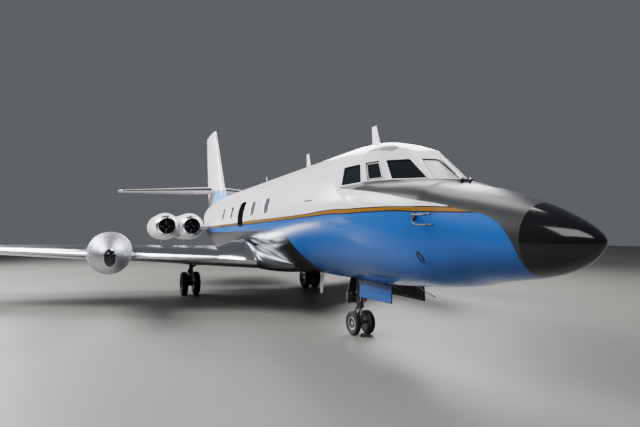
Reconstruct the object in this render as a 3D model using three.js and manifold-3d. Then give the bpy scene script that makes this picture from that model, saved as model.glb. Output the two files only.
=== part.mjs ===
// Light business jet with four engines in paired rear pods, full size, in millimetres.
// +X runs forward to the nose, +Y to port and +Z up. The origin is on the ground under the
// middle of the bounding box. A station s is a distance aft of the nose tip.
import * as THREE from "three";
import { mergeVertices } from "three/addons/utils/BufferGeometryUtils.js";
import Module from "manifold-3d";

const wasm = await Module();
wasm.setup();

// Overall size
const LENGTH = 18410;
const SPAN = 16586;
const HEIGHT = 6220;
const NOSE_X = LENGTH / 2;

// Clearances
const TOUCH = 0.3; // between pieces that rest on each other
const RUN = 0.5; // at pins and sleeves

// Fuselage
const WALL = 120;
const COCKPIT_WALL = 80;
const FLOOR_Z = 1300;
const RING_SIDES = 32;
const JOINTS = { radome: 550, nose: 1545, cockpit: 3600, cabin: 11200, aft: 15300, cone: 17600 };
// Columns: station, crown z, keel z, half width, z of the widest point, squareness (2 is an ellipse)
const HULL = [
  [0, 1650, 1608, 22, 1630, 2],
  [25, 1683, 1555, 64, 1627, 2],
  [90, 1742, 1472, 132, 1624, 2],
  [220, 1830, 1383, 232, 1622, 2],
  [400, 1926, 1307, 330, 1626, 2],
  [600, 2016, 1256, 416, 1636, 2.05],
  [840, 2108, 1212, 510, 1662, 2.1],
  [1100, 2190, 1166, 605, 1700, 2.2],
  [1380, 2258, 1098, 705, 1750, 2.5],
  [1600, 2330, 1068, 790, 1795, 2.9],
  [1640, 2420, 1063, 805, 1803, 2.9],
  [1760, 2600, 1052, 850, 1830, 2.8],
  [1950, 2740, 1037, 912, 1880, 2.65],
  [2120, 2800, 1020, 955, 1920, 2.55],
  [2240, 2812, 1008, 982, 1945, 2.45],
  [2440, 2902, 992, 1016, 1972, 2.35],
  [2660, 2985, 975, 1045, 1995, 2.2],
  [3020, 3072, 957, 1068, 2015, 2.08],
  [3600, 3110, 950, 1080, 2030, 2],
  [11200, 3110, 950, 1080, 2030, 2],
  [12500, 3100, 1070, 1010, 2060, 2],
  [14000, 3060, 1350, 830, 2180, 2],
  [15300, 2990, 1690, 610, 2330, 2],
  [16600, 2890, 2090, 370, 2480, 2],
  [17300, 2820, 2330, 235, 2570, 2],
  [17600, 2740, 2480, 110, 2610, 2],
];

// Flat cockpit facets, given by corners (station, distance to port, z) on the port side
const FACETS = {
  front: [[1580, 30, 2330], [1858, 310, 2386], [2178, 295, 2672]],
  quarter: [[1858, 310, 2386], [2244, 680, 2400], [2178, 295, 2672]],
  side: [[2244, 680, 2400], [2550, 850, 2400], [2486, 600, 2675]],
  rear: [[2550, 850, 2400], [2900, 950, 2400], [2737, 745, 2668]],
};
const FACET_FLOOR = 2000;
// Cockpit panes, one on each facet
const COCKPIT_PANES = {
  windscreen: [[1634, 47, 2366], [1840, 286, 2387], [2130, 227, 2675], [1988, 71, 2654]],
  quarter_window: [[1884, 335, 2387], [2203, 643, 2396], [2451, 557, 2681], [2224, 336, 2677]],
  sliding_window: [[2300, 704, 2409], [2506, 823, 2403], [2703, 722, 2673], [2521, 613, 2683]],
  rear_window: [[2580, 868, 2384], [2929, 976, 2371], [3068, 850, 2650], [2776, 757, 2666]],
};
// The brow that carries the nose aft under the windows: station, crown z
const BROW = [
  [1545.2, 2312], [1600, 2330], [1760, 2365], [1950, 2400], [2120, 2422],
  [2240, 2440], [2440, 2475], [2660, 2490], [3020, 2490], [3300, 2450],
];
const BROW_SQUARE = 2.9;
const BROW_INSET = 1;
const PANE_THICK = 20;
const PANE_INSET = 14;

// Cabin windows, the over-wing exit and the entry door
const WINDOW_PITCH = 968;
const WINDOW_FIRST = 6030;
const WINDOW = { width: 330, low: 2140, high: 2440, corner: 90 };
const EXIT = { front: 7680, rear: 8200, low: 1900, high: 2510, corner: 110 };
const DOOR = { front: 3760, rear: 4480, low: 1330, high: 2790, corner: 120 };
const DOOR_GAP = 0.5;

// Nose wheel well and its doors
const WELL = { front: 2730, rear: 4370, half: 300, top: 1240 };
const NOSE_DOOR = { front: 2745, rear: 3575, inner: 6, outer: 265, hinge_y: 280, thick: 20, open: 88 };
const KNUCKLE = { radius: 9, length: 40, stations: [2885, 3395] };
const LUG = { beyond: 20, below: 7, above: 40 }; // the root of a lug on the well's edge
const LEAF = { reach: 30, half: 6 }; // the leaf that joins a door to its knuckle

// Wing: the quarter-chord line and chord run straight from root to tip
const WING = {
  root_y: 920, tip_y: SPAN / 2, quarter: 7120, sweep: 0.5774, chord: 4550, taper: 0.3619,
  z: 1142, rise: 0.035, thick: 0.12, thin: 0.09, camber: 0.012,
};
const TAILPLANE = {
  root_y: 0, tip_y: 3770, quarter: 15850, sweep: 0.4878, chord: 2600, taper: 0.435,
  z: 3600, rise: 0, thick: 0.1, thin: 0.09, camber: 0,
};
// The fin is laid out like a wing whose span runs up from the ground
const FIN = {
  root_y: 2900, tip_y: HEIGHT, quarter: 13558, sweep: 0.4939, chord: 4635, taper: 0.4397,
  z: 0, rise: 0, thick: 0.11, thin: 0.09, camber: 0,
};
const FOIL_STEPS = [0, 0.02, 0.08, 0.2, 0.4, 0.62, 0.82, 1];
const EDGE_THICK = 0.0015;
const SLOT = 16; // from a control's nose to the spar face ahead of it
const END_GAP = 20;
// A flap moves along its swept hinge as it drops, so its bay is longer
const FLAP_GAP = 34;
// Columns: name, inner end, outer end, hinge as a share of the chord, gap at each end
const WING_CONTROLS = [
  ["flap_inboard", 1270, 3370, 0.84, FLAP_GAP],
  ["flap_outboard", 4450, 5750, 0.79, FLAP_GAP],
  ["aileron", 5830, 8010, 0.77, END_GAP],
];
const ELEVATOR = ["elevator", 500, 3560, 0.7];
const RUDDER = ["rudder", 3010, 6050, 0.72];
const TAIL_NOTCH = { half: 470, station: 16560 };

// Belly fairing that carries the wings. Columns: station, half width, keel z, top z
const FAIRING = [
  [5700, 560, 985, 1190],
  [6050, 820, 925, 1330],
  [6500, 1010, 880, 1470],
  [7100, 1085, 865, 1560],
  [10300, 1085, 865, 1560],
  [11100, 1000, 890, 1480],
  [11700, 700, 960, 1270],
];
const FAIRING_SQUARE = 2.8;

// Slipper tanks. Columns of the profile: station, radius
const TANK_Y = 3900;
const TANK_Z = 1350;
const TANK_PROFILE = [
  [5880, 0], [5910, 95], [6020, 215], [6280, 340], [6800, 430],
  [9300, 430], [10300, 380], [11200, 230], [11680, 0],
];
const TANK_SIDES = 24;

// Paired engine pods
const POD = { inner_y: 1640, outer_y: 2390, z: 1990, front: 11580, rear: 15200 };
const POD_SIDES = 20;
// Columns: distance behind the intake lip, radius
const COWL = [
  [0, 262], [15, 288], [80, 325], [250, 380], [700, 430], [2300, 430], [3000, 392], [3620, 292],
];
const DUCT = [[3620, 262], [2660, 252], [2660, 300], [420, 300], [420, 246], [60, 230], [0, 240]];
const ENGINE = { radius: 300, hub: 80, nose: 170, cone: 150, tail: 420 };
const PYLON = { front: 12050, rear: 14900, inner: 600, outer: 1560, half: 95 };

// Landing gear
const WHEEL_SIDES = 24;
const NOSE_GEAR = { s: 4090, tyre_r: 200, tyre_w: 104, hub_r: 112, offset: 138, axle_r: 22 };
const MAIN_GEAR = { s: 10370, y: 1875, tyre_r: 330, tyre_w: 168, hub_r: 185, offset: 165, axle_r: 38 };
const NOSE_LEG = { radius: 62, top: WELL.top, split: 520, piston_r: 40, block: 120 };
// The door that closes the back of the well is carried on the leg. Columns: z, half width, thickness
const LEG_DOOR = [[530, 190, 60], [665, 190, 60], [680, 184, 22], [960, 95, 22]];
const LEG_DOOR_BACK = 150; // behind the leg's axis
// What the nose leg carries: heights from the ground, reaches from its axis
const LEG_COLLAR = { low: 670, high: 730, radius: 80 };
const TRUNNION = { z: 1120, reach: 230, radius: 34 };
const LEG_BRACE = { foot: 860, head: 1220, reach: 240, radius: 26 };
const DOOR_ARMS = { heights: [600, 820], half: 40, rise: 30, short: 10 };
const NOSE_FORK = { collar: 70, sunk: 40, knee: 170, link_r: 16, top: [40, 475], foot: [20, 230] };
const MAIN_LEG = { radius: 72, top_s: 10255, top: 1230, split: 640, piston_r: 52, block: 140 };

// Cabin furniture
// The main leg's brace, torque links and the door that it carries
const MAIN_BRACE = { foot: [0, 30, 800], head: [150, 1250, 1200], radius: 34 };
const MAIN_LINKS = { radius: 18, top: [50, 680], knee: [210, 520], rise: 8, foot: [30, 385] };
const MAIN_DOOR = { front: 240, rear: 60, inner: 78, outer: 92, low: 760, high: 1085 };
const DOOR_STAY = { front: 30, rear: 20, reach: 80, low: 860, high: 940 };

const SEAT = { width: 460, depth: 470, base: 1700, back: 2330, thick: 120 };
const PEDESTAL = { inset: 100, half: 90, towards_middle: 0.8, into_seat: 10 };
const PLATE = 25;
const FOOT = 5; // how deep the furniture stands in its floor plate
const COCKPIT_FLOOR = [2000, 3560, -480, 480];
const CABIN_FLOOR = [4620, 10860, -500, 500];
const PANEL = [2160, 2230, -560, 560, 1850, 2240];
const SHROUD = [2060, 2250, -470, 470, 2235, 2265];
const FOOTWELL = [2160, 2190, -430, 430];
const FOOTWELL_TOP = 1900;
const CONSOLE = [2180, 2700, -130, 130];
const CONSOLE_TOP = 1760;
const CREW_SEAT = { s: 2680, y: 430 };
const CABIN_SEATS = { stations: [5600, 6560, 8500, 9460], y: 560 };

const finish = (color, roughness, metalness) =>
  new THREE.MeshStandardMaterial({ color, roughness, metalness });
const LOOK = {
  black: finish(0x17171a, 0.35, 0),
  white: finish(0xdcd5dc, 0.4, 0.1),
  blue: finish(0x3c76b8, 0.35, 0.1),
  metal: finish(0xb9bcc0, 0.25, 0.9),
  grey: finish(0x85888c, 0.5, 0.6),
  dark: finish(0x2c2d30, 0.6, 0.5),
  rubber: finish(0x1a1a1a, 0.9, 0),
  glass: finish(0x35424a, 0.05, 0),
  trim: finish(0x6e675e, 0.85, 0),
};

// Geometry helpers

const X = (s) => NOSE_X - s;

// A closed body through rings of equal point count, with flat ends, facing out.
function loft(rings) {
  const sides = rings[0].length;
  const points = rings.flat();
  const faces = [];
  for (let r = 0; r + 1 < rings.length; r++)
    for (let i = 0; i < sides; i++) {
      const a = r * sides + i;
      const b = r * sides + ((i + 1) % sides);
      faces.push([a, b, b + sides], [a, b + sides, a + sides]);
    }
  for (const [first, turn] of [[0, 1], [(rings.length - 1) * sides, 0]]) {
    const ring = points.slice(first, first + sides);
    const middle = points.length;
    points.push([0, 1, 2].map((k) => ring.reduce((sum, p) => sum + p[k], 0) / sides));
    for (let i = 0; i < sides; i++) {
      const edge = [first + i, first + ((i + 1) % sides)];
      faces.push(turn ? [middle, edge[1], edge[0]] : [middle, edge[0], edge[1]]);
    }
  }
  const volume = faces.reduce((sum, [a, b, c]) => {
    const [p, q, r] = [a, b, c].map((i) => new THREE.Vector3(...points[i]));
    return sum + p.dot(q.cross(r));
  }, 0);
  const outward = volume < 0 ? faces.map(([a, b, c]) => [a, c, b]) : faces;
  return new THREE.BufferGeometry()
    .setAttribute("position", new THREE.Float32BufferAttribute(points.flat(), 3))
    .setIndex(outward.flat());
}

function solid(geometry) {
  const bare = geometry.clone();
  bare.deleteAttribute("normal");
  bare.deleteAttribute("uv");
  const merged = mergeVertices(bare, 1e-3);
  return new wasm.Manifold(
    new wasm.Mesh({
      numProp: 3,
      vertProperties: merged.attributes.position.array,
      triVerts: new Uint32Array(merged.index.array),
    }),
  );
}

function surface(body) {
  const { vertProperties, triVerts } = body.getMesh();
  return new THREE.BufferGeometry()
    .setAttribute("position", new THREE.BufferAttribute(vertProperties, 3))
    .setIndex(new THREE.BufferAttribute(triVerts, 1));
}

const join = (bodies) => bodies.reduce((sum, body) => sum.add(body));
const cut = (body, tools) => tools.reduce((rest, tool) => rest.subtract(tool), body);

// A box between two stations, two distances to port and two heights
function block(s0, s1, y0, y1, z0, z1) {
  const box = new THREE.BoxGeometry(Math.abs(s1 - s0), Math.abs(y1 - y0), Math.abs(z1 - z0));
  return solid(box.translate(X((s0 + s1) / 2), (y0 + y1) / 2, (z0 + z1) / 2));
}

// A round bar between two points, its facets turned about its axis by the phase
function bar(from, to, radius, sides = 12, phase = 0) {
  const [a, b] = [from, to].map((p) => new THREE.Vector3(...p));
  const along = b.clone().sub(a);
  const turn = new THREE.Quaternion().setFromUnitVectors(
    new THREE.Vector3(0, 1, 0),
    along.clone().normalize(),
  );
  const rod = new THREE.CylinderGeometry(radius, radius, along.length(), sides, 1, false, phase);
  return solid(rod.applyQuaternion(turn).translate(...a.add(b).multiplyScalar(0.5)));
}

// A turned body along X through (y, z); the profile lists stations and radii
function turnedAlongX(profile, y, z, sides) {
  const points = profile.map(([s, r]) => new THREE.Vector2(r, s));
  const body = new THREE.LatheGeometry(points, sides, Math.PI / sides);
  return solid(body.rotateZ(Math.PI / 2).translate(NOSE_X, y, z));
}

// A turned body along Y through (station, y, z), with a flat facet underneath
function turnedAlongY(profile, s, y, z) {
  const points = profile.map(([r, across]) => new THREE.Vector2(r, across));
  const body = new THREE.LatheGeometry(points, WHEEL_SIDES, Math.PI / WHEEL_SIDES);
  return solid(body.translate(X(s), y, z));
}

// A rounded rectangle seen from the side, run through from y0 to y1
function sideCut({ front, rear, low, high, corner }, y0, y1, shrink = 0) {
  const [a, b] = [front + shrink, rear - shrink];
  const [c, d] = [low + shrink, high - shrink];
  const steps = 4;
  const ring = [];
  const corners = [[b, d, 0], [a, d, 1], [a, c, 2], [b, c, 3]];
  for (const [s, z, quarter] of corners)
    for (let i = 0; i <= steps; i++) {
      const angle = ((quarter + i / steps) * Math.PI) / 2;
      const cs = s - Math.sign(s - (a + b) / 2) * corner;
      const cz = z - Math.sign(z - (c + d) / 2) * corner;
      ring.push([cs + corner * Math.cos(angle), cz + corner * Math.sin(angle)]);
    }
  return solid(loft([y0, y1].map((y) => ring.map(([s, z]) => [X(s), y, z]))));
}

// Fuselage

// The hull's section at a station, by straight lines between the table's rows
function hullAt(s) {
  const after = Math.max(1, HULL.findIndex((row) => row[0] >= s));
  const [low, high] = [HULL[after - 1], HULL[after]];
  const share = (s - low[0]) / (high[0] - low[0]);
  return low.map((value, i) => value + share * (high[i] - value));
}

function sectionRing([s, crown, keel, half, middle, square], inset = 0) {
  const power = (v) => Math.sign(v) * Math.abs(v) ** (2 / square);
  return Array.from({ length: RING_SIDES }, (_, i) => {
    const angle = ((i + 0.5) * 2 * Math.PI) / RING_SIDES;
    const rise = Math.sin(angle) > 0 ? crown - inset - middle : middle - keel - inset;
    return [X(s), (half - inset) * power(Math.cos(angle)), middle + rise * power(Math.sin(angle))];
  });
}

function hull(from, to, inset = 0) {
  const between = HULL.map((row) => row[0]).filter((s) => s > from && s < to);
  const sections = [from, ...between, to].map((s) => [s, ...hullAt(s).slice(1)]);
  return solid(loft(sections.map((row) => sectionRing(row, inset))));
}

// The shoulder under the cockpit windows, just inside the hull elsewhere
function brow() {
  const sections = BROW.map(([s, crown]) => {
    const [, , keel, half, middle] = hullAt(s);
    return [s, crown, keel, half, middle, BROW_SQUARE];
  });
  return solid(loft(sections.map((row) => sectionRing(row, BROW_INSET)))).intersect(overFacetFloor);
}

const overFacetFloor = block(1000, 5000, -2000, 2000, FACET_FLOOR, 4000);

// A facet's plane: outward normal and a point on it
function facetPlane(corners, side) {
  const [a, b, c] = corners.map(([s, y, z]) => new THREE.Vector3(X(s), side * y, z));
  const normal = b.clone().sub(a).cross(c.clone().sub(a)).normalize();
  return { normal: normal.z < 0 ? normal.negate() : normal, point: a };
}

// Everything outside a facet, over the cockpit only
function outsideFacet(corners, side, inset) {
  const { normal, point } = facetPlane(corners, side);
  const reach = 4000;
  const along = new THREE.Vector3(0, side, 0).cross(normal).normalize();
  const across = normal.clone().cross(along);
  const base = point.clone().addScaledVector(normal, -inset);
  const ring = [[-1, -1], [1, -1], [1, 1], [-1, 1]].map(([u, v]) =>
    base.clone().addScaledVector(along, u * reach).addScaledVector(across, v * reach),
  );
  const far = ring.map((p) => p.clone().addScaledVector(normal, reach));
  return solid(loft([ring, far].map((points) => points.map((p) => p.toArray())))).intersect(overFacetFloor);
}

function facets(inset) {
  return Object.values(FACETS).flatMap((corners) =>
    [1, -1].map((side) => outsideFacet(corners, side, inset)),
  );
}

// A pane's prism between two depths below its own plane
function paneBody(corners, side, shrink, above, below) {
  const { normal } = facetPlane(corners, side);
  const points = corners.map(([s, y, z]) => new THREE.Vector3(X(s), side * y, z));
  const middle = points.reduce((sum, p) => sum.add(p), new THREE.Vector3()).divideScalar(points.length);
  const inner = points.map((p) => {
    const arm = middle.clone().sub(p);
    return p.clone().addScaledVector(arm, shrink / arm.length());
  });
  const level = (d) => inner.map((p) => p.clone().addScaledVector(normal, d).toArray());
  return solid(loft([level(above), level(below)]));
}

const aboveFloor = block(1000, 12000, -2000, 2000, FLOOR_Z, 4000);
const belowFloor = block(1000, 12000, -2000, 2000, 0, FLOOR_Z - TOUCH);
const well = block(WELL.front, WELL.rear, -WELL.half, WELL.half, 700, WELL.top);

function noseDoorHingeZ(s) {
  const [, , keel, half, middle, square] = hullAt(s);
  const share = (1 - (NOSE_DOOR.hinge_y / half) ** square) ** (1 / square);
  return middle - (middle - keel) * share + NOSE_DOOR.thick / 2;
}
const HINGE_Z = noseDoorHingeZ((NOSE_DOOR.front + NOSE_DOOR.rear) / 2);

// Lugs on the well's edge that the nose doors hang from
function doorLugs(side) {
  return KNUCKLE.stations.map((s) => {
    const y = side * NOSE_DOOR.hinge_y;
    const from = s + KNUCKLE.length / 2 + RUN;
    const pin = bar([X(from), y, HINGE_Z], [X(from + KNUCKLE.length), y, HINGE_Z], KNUCKLE.radius);
    const wallY = side * (WELL.half + LUG.beyond);
    const rear = from + KNUCKLE.length;
    const root = block(from, rear, y, wallY, HINGE_Z - LUG.below, HINGE_Z + LUG.above);
    return pin.add(root);
  });
}

function cockpitSection() {
  const shell = cut(hull(JOINTS.nose + TOUCH, JOINTS.cockpit - TOUCH), facets(0)).add(brow());
  const cavity = cut(hull(JOINTS.nose + 150, JOINTS.cockpit + 10, COCKPIT_WALL), facets(COCKPIT_WALL))
    .intersect(aboveFloor);
  const panes = Object.values(COCKPIT_PANES).flatMap((corners) =>
    [1, -1].map((side) => paneBody(corners, side, 0, 120, -240)),
  );
  return join([cut(shell, [cavity, well, ...panes]), ...doorLugs(1), ...doorLugs(-1)]);
}

function windowBox(index, shrink = 0) {
  const middle = WINDOW_FIRST + index * WINDOW_PITCH;
  return {
    front: middle - WINDOW.width / 2 + shrink,
    rear: middle + WINDOW.width / 2 - shrink,
    low: WINDOW.low + shrink,
    high: WINDOW.high - shrink,
    corner: WINDOW.corner,
  };
}

const PORT_WINDOWS = [0, 1, 2, 3, 4];
const STARBOARD_WINDOWS = [0, 1, 3, 4]; // the hatch of the over-wing exit is missing
const sideReach = (side) => [side * 700, side * 1300];
const cabinWall = cut(hull(JOINTS.cockpit + TOUCH, JOINTS.cabin - TOUCH), [
  hull(JOINTS.cockpit - 10, JOINTS.cabin - 300, WALL).intersect(aboveFloor),
]);

function cabinSection() {
  const windows = [
    ...PORT_WINDOWS.map((i) => sideCut(windowBox(i), ...sideReach(1))),
    ...STARBOARD_WINDOWS.map((i) => sideCut(windowBox(i), ...sideReach(-1))),
  ];
  const exit = sideCut(EXIT, ...sideReach(-1));
  const doorway = sideCut(DOOR, ...sideReach(1));
  return cut(cabinWall, [...windows, exit, doorway]).intersect(aboveFloor);
}

// The lower lobe under the cabin floor, with the back of the nose wheel well
function cabinKeel() {
  return cut(cabinWall, [well]).intersect(belowFloor);
}

// An unpressurised shell behind the cabin's rear bulkhead
function aftFuselage() {
  return cut(hull(JOINTS.cabin, JOINTS.aft - TOUCH), [hull(JOINTS.cabin - 10, JOINTS.aft - 300, WALL)]);
}

// Panes in a run of cabin windows, joined by the inner side panel that holds them
function windowRun(indices, side) {
  const panes = indices.map((i) =>
    sideCut(windowBox(i, TOUCH), ...sideReach(side)).intersect(
      cut(hull(5000, 11000, PANE_INSET), [hull(4990, 11010, WALL + 20)]),
    ),
  );
  const first = windowBox(indices[0]).front - 60;
  const last = windowBox(indices[indices.length - 1]).rear + 60;
  const strip = block(first, last, ...sideReach(side), WINDOW.low - 60, WINDOW.high + 60).intersect(
    cut(hull(5000, 11000, WALL + TOUCH), [hull(4990, 11010, WALL + 20)]),
  );
  return join([strip, ...panes]);
}

function entryDoor() {
  return sideCut(DOOR, ...sideReach(1), DOOR_GAP).intersect(cabinWall);
}

// Nose door: a strip of the skin, turned open about its hinge
function noseDoor(side) {
  const skin = cut(hull(NOSE_DOOR.front, NOSE_DOOR.rear), [
    hull(NOSE_DOOR.front - 5, NOSE_DOOR.rear + 5, NOSE_DOOR.thick),
  ]);
  const strip = block(2600, 3700, side * NOSE_DOOR.inner, side * NOSE_DOOR.outer, 800, 1200);
  const knuckles = KNUCKLE.stations.map((s) => {
    const y = side * NOSE_DOOR.hinge_y;
    const half = KNUCKLE.length / 2;
    const pin = bar([X(s - half), y, HINGE_Z], [X(s + half), y, HINGE_Z], KNUCKLE.radius);
    const leafY = side * (NOSE_DOOR.outer - LEAF.reach);
    return pin.add(block(s - half, s + half, leafY, y, HINGE_Z - LEAF.half, HINGE_Z + LEAF.half));
  });
  const closed = surface(join([skin.intersect(strip), ...knuckles]));
  const pivot = [0, side * NOSE_DOOR.hinge_y, HINGE_Z];
  closed.translate(...pivot.map((v) => -v));
  closed.rotateX(side * THREE.MathUtils.degToRad(NOSE_DOOR.open));
  return closed.translate(...pivot);
}

// Wings and tail surfaces

// Half thickness and camber height at a share of the chord, for a section of given thickness
function foilAt(share, thick, camber) {
  const poly =
    0.2969 * Math.sqrt(share) - 0.126 * share - 0.3516 * share ** 2 + 0.2843 * share ** 3 - 0.1036 * share ** 4;
  return { half: 5 * thick * poly + EDGE_THICK * share, mean: 4 * camber * share * (1 - share) };
}

// Its thickness in millimetres runs straight from root to tip, as its chord does
function panelAt(panel, y) {
  const chordAt = (v) => panel.chord - panel.taper * v;
  const chord = chordAt(y);
  const share = (y - panel.root_y) / (panel.tip_y - panel.root_y);
  const depth = THREE.MathUtils.lerp(
    panel.thick * chordAt(panel.root_y),
    panel.thin * chordAt(panel.tip_y),
    share,
  );
  return {
    chord,
    lead: panel.quarter + panel.sweep * y - chord / 4,
    z: panel.z + panel.rise * (y - panel.root_y),
    thick: depth / chord,
  };
}

// A point of a panel: along the chord, off the chord plane, out along the span
function place(panel, side, s, off, y) {
  return panel === FIN ? [X(s), off, y] : [X(s), side * y, off];
}

function foilRing(panel, side, y, grow = 0) {
  const { chord, lead, z, thick } = panelAt(panel, y);
  const row = (share, sign) => {
    const { half, mean } = foilAt(share, thick, panel.camber);
    const reach = lead + share * chord + grow * (2 * share - 1);
    return place(panel, side, reach, z + mean * chord + sign * (half * chord + grow), y);
  };
  const upper = FOIL_STEPS.map((share) => row(share, 1));
  const lower = FOIL_STEPS.slice(1).reverse().map((share) => row(share, -1));
  return grow ? [...upper, ...lower, row(0, -1)] : [...upper, ...lower];
}

// A whole panel between two span stations
function panelBody(panel, side, from, to, grow = 0) {
  return solid(loft([from, to].map((y) => foilRing(panel, side, y, grow))));
}

function hingeAt(panel, y, share) {
  const { chord, lead, z, thick } = panelAt(panel, y);
  const { half, mean } = foilAt(share, thick, panel.camber);
  return { s: lead + share * chord, z: z + mean * chord, radius: half * chord, chord, lead };
}

// A control surface: round nose about its hinge line, then the section's tail
function controlBody(panel, side, [, from, to, share]) {
  const ring = (y) => {
    const hinge = hingeAt(panel, y, share);
    const { thick, z, lead, chord } = panelAt(panel, y);
    const tail = [share + (1 - share) * 0.35, share + (1 - share) * 0.7, 1];
    const row = (at, sign) => {
      const { half, mean } = foilAt(at, thick, panel.camber);
      return place(panel, side, lead + at * chord, z + mean * chord + sign * half * chord, y);
    };
    const nose = Array.from({ length: 9 }, (_, i) => {
      const angle = Math.PI / 2 + (i * Math.PI) / 8;
      return place(
        panel, side, hinge.s + hinge.radius * Math.cos(angle), hinge.z + hinge.radius * Math.sin(angle), y,
      );
    });
    return [...nose, ...tail.map((at) => row(at, -1)), ...tail.reverse().map((at) => row(at, 1))];
  };
  return solid(loft([ring(from), ring(to)]));
}

// What a control surface's bay takes out of its panel
function bay(panel, side, [, from, to, share], endGap = END_GAP) {
  const ring = (y) => {
    const hinge = hingeAt(panel, y, share);
    const front = hinge.s - hinge.radius - SLOT;
    const rear = hinge.lead + hinge.chord + 200;
    const high = 400;
    return [[front, -high], [rear, -high], [rear, high], [front, high]].map(([s, off]) =>
      place(panel, side, s, hinge.z + off, y),
    );
  };
  return solid(loft([ring(from - endGap), ring(to + endGap)]));
}

// Hinges: a lug on the panel's spar face holds a pin, and the control has a slot and a bore for them
const HINGE = { spots: [0.12, 0.88], lug: 14, height: 15, slot: 30, pin: 12, reach: 62, sides: 8 };

function hingePin(panel, side, y, share, radius, reach, phase = 0) {
  const ends = [y - reach, y + reach].map((v) => {
    const hinge = hingeAt(panel, v, share);
    return place(panel, side, hinge.s, hinge.z, v);
  });
  return bar(ends[0], ends[1], radius, HINGE.sides, phase);
}

function hingeBlock(panel, side, y, share, half, height, front, rear) {
  const ring = (v) => {
    const hinge = hingeAt(panel, v, share);
    const a = hinge.s - hinge.radius - front;
    const b = hinge.s + rear;
    const corners = [[a, -height], [b, -height], [b, height], [a, height]];
    return corners.map(([s, off]) => place(panel, side, s, hinge.z + off, v));
  };
  return solid(loft([ring(y - half), ring(y + half)]));
}

const hingeSpots = ([, from, to]) => HINGE.spots.map((at) => from + at * (to - from));

function panelLugs(panel, side, row) {
  return hingeSpots(row).flatMap((y) => [
    hingeBlock(panel, side, y, row[3], HINGE.lug, HINGE.height, SLOT + 30, 4),
    hingePin(panel, side, y, row[3], HINGE.pin, HINGE.reach),
  ]);
}

function control(panel, side, row) {
  const facet = Math.PI / HINGE.sides;
  const bore = (HINGE.pin + TOUCH) / Math.cos(facet);
  const hollows = hingeSpots(row).flatMap((y) => [
    hingeBlock(panel, side, y, row[3], HINGE.slot, 400, 50, HINGE.pin + 10),
    hingePin(panel, side, y, row[3], bore, HINGE.reach + 3, facet),
  ]);
  return cut(controlBody(panel, side, row), hollows);
}

function wing(side) {
  const body = panelBody(WING, side, WING.root_y, WING.tip_y);
  const bays = WING_CONTROLS.map((row) => bay(WING, side, row, row[4]));
  const lugs = WING_CONTROLS.flatMap((row) => panelLugs(WING, side, row));
  return join([cut(body, bays), ...lugs]);
}

// A panel's whole form grown a little, for what is seated around it
const panelSpace = (panel, side) => panelBody(panel, side, panel.root_y - TOUCH, panel.tip_y, TOUCH);
const wingSpace = (side) => panelSpace(WING, side);

function fairing() {
  const rings = FAIRING.map(([s, half, keel, top]) =>
    Array.from({ length: 24 }, (_, i) => {
      const angle = ((i + 0.5) * Math.PI) / 12;
      const power = (v) => Math.sign(v) * Math.abs(v) ** (2 / FAIRING_SQUARE);
      const middle = (keel + top) / 2;
      return [X(s), half * power(Math.cos(angle)), middle + (middle - keel) * power(Math.sin(angle))];
    }),
  );
  const body = solid(loft(rings));
  return cut(body, [hull(5000, 12500, -TOUCH), wingSpace(1), wingSpace(-1)]);
}

function tank(side) {
  const body = turnedAlongX(TANK_PROFILE, side * TANK_Y, TANK_Z, TANK_SIDES);
  return cut(body, [wingSpace(side)]);
}

function tailplane() {
  const halves = [1, -1].map((side) => panelBody(TAILPLANE, side, TAILPLANE.root_y, TAILPLANE.tip_y));
  const bays = [1, -1].map((side) => bay(TAILPLANE, side, ELEVATOR));
  const notch = block(TAIL_NOTCH.station, 19000, -TAIL_NOTCH.half - 40, TAIL_NOTCH.half + 40, 3000, 4200);
  const lugs = [1, -1].flatMap((side) => panelLugs(TAILPLANE, side, ELEVATOR));
  return join([cut(join(halves), [...bays, notch]), ...lugs]);
}

const tailplaneSpace = join([1, -1].map((side) => panelSpace(TAILPLANE, side)));

function fin() {
  const body = panelBody(FIN, 1, FIN.root_y, FIN.tip_y);
  const trimmed = cut(body, [bay(FIN, 1, RUDDER), hull(12000, 17590, -TOUCH), tailplaneSpace]);
  return join([trimmed, ...panelLugs(FIN, 1, RUDDER)]);
}

// Engine pods
const podCentres = (side) => [POD.inner_y, POD.outer_y].map((y) => side * y);
const cowlProfile = (grow) => [
  [POD.front - grow, 0],
  ...COWL.map(([back, r]) => [POD.front + back, r + grow]),
  [POD.rear + grow, 0],
];
const ductProfile = [
  [POD.rear + 10, 0],
  [POD.rear + 10, DUCT[0][1]],
  ...DUCT.map(([back, r]) => [POD.front + back, r]),
  [POD.front - 10, DUCT[DUCT.length - 1][1]],
  [POD.front - 10, 0],
].reverse();

function nacelle(side) {
  const lobes = podCentres(side).map((y) => turnedAlongX(cowlProfile(0), y, POD.z, POD_SIDES));
  const ducts = podCentres(side).map((y) => turnedAlongX(ductProfile, y, POD.z, POD_SIDES));
  const web = block(
    POD.front + 500, POD.front + 2700, side * POD.inner_y, side * POD.outer_y, POD.z - 330, POD.z + 330,
  );
  return cut(join([...lobes, web]), ducts);
}

const nacelleSpace = (side) =>
  join(podCentres(side).map((y) => turnedAlongX(cowlProfile(TOUCH), y, POD.z, POD_SIDES)));

function pylon(side) {
  const length = PYLON.rear - PYLON.front;
  const ring = (y) =>
    Array.from({ length: 16 }, (_, i) => {
      const angle = ((i + 0.5) * Math.PI) / 8;
      const s = PYLON.front + (length / 2) * (1 - Math.cos(angle));
      return [X(s), side * y, POD.z + PYLON.half * Math.sin(angle)];
    });
  return cut(solid(loft([ring(PYLON.inner), ring(PYLON.outer)])), [
    hull(11000, 16000, -TOUCH),
    nacelleSpace(side),
  ]);
}

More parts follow.
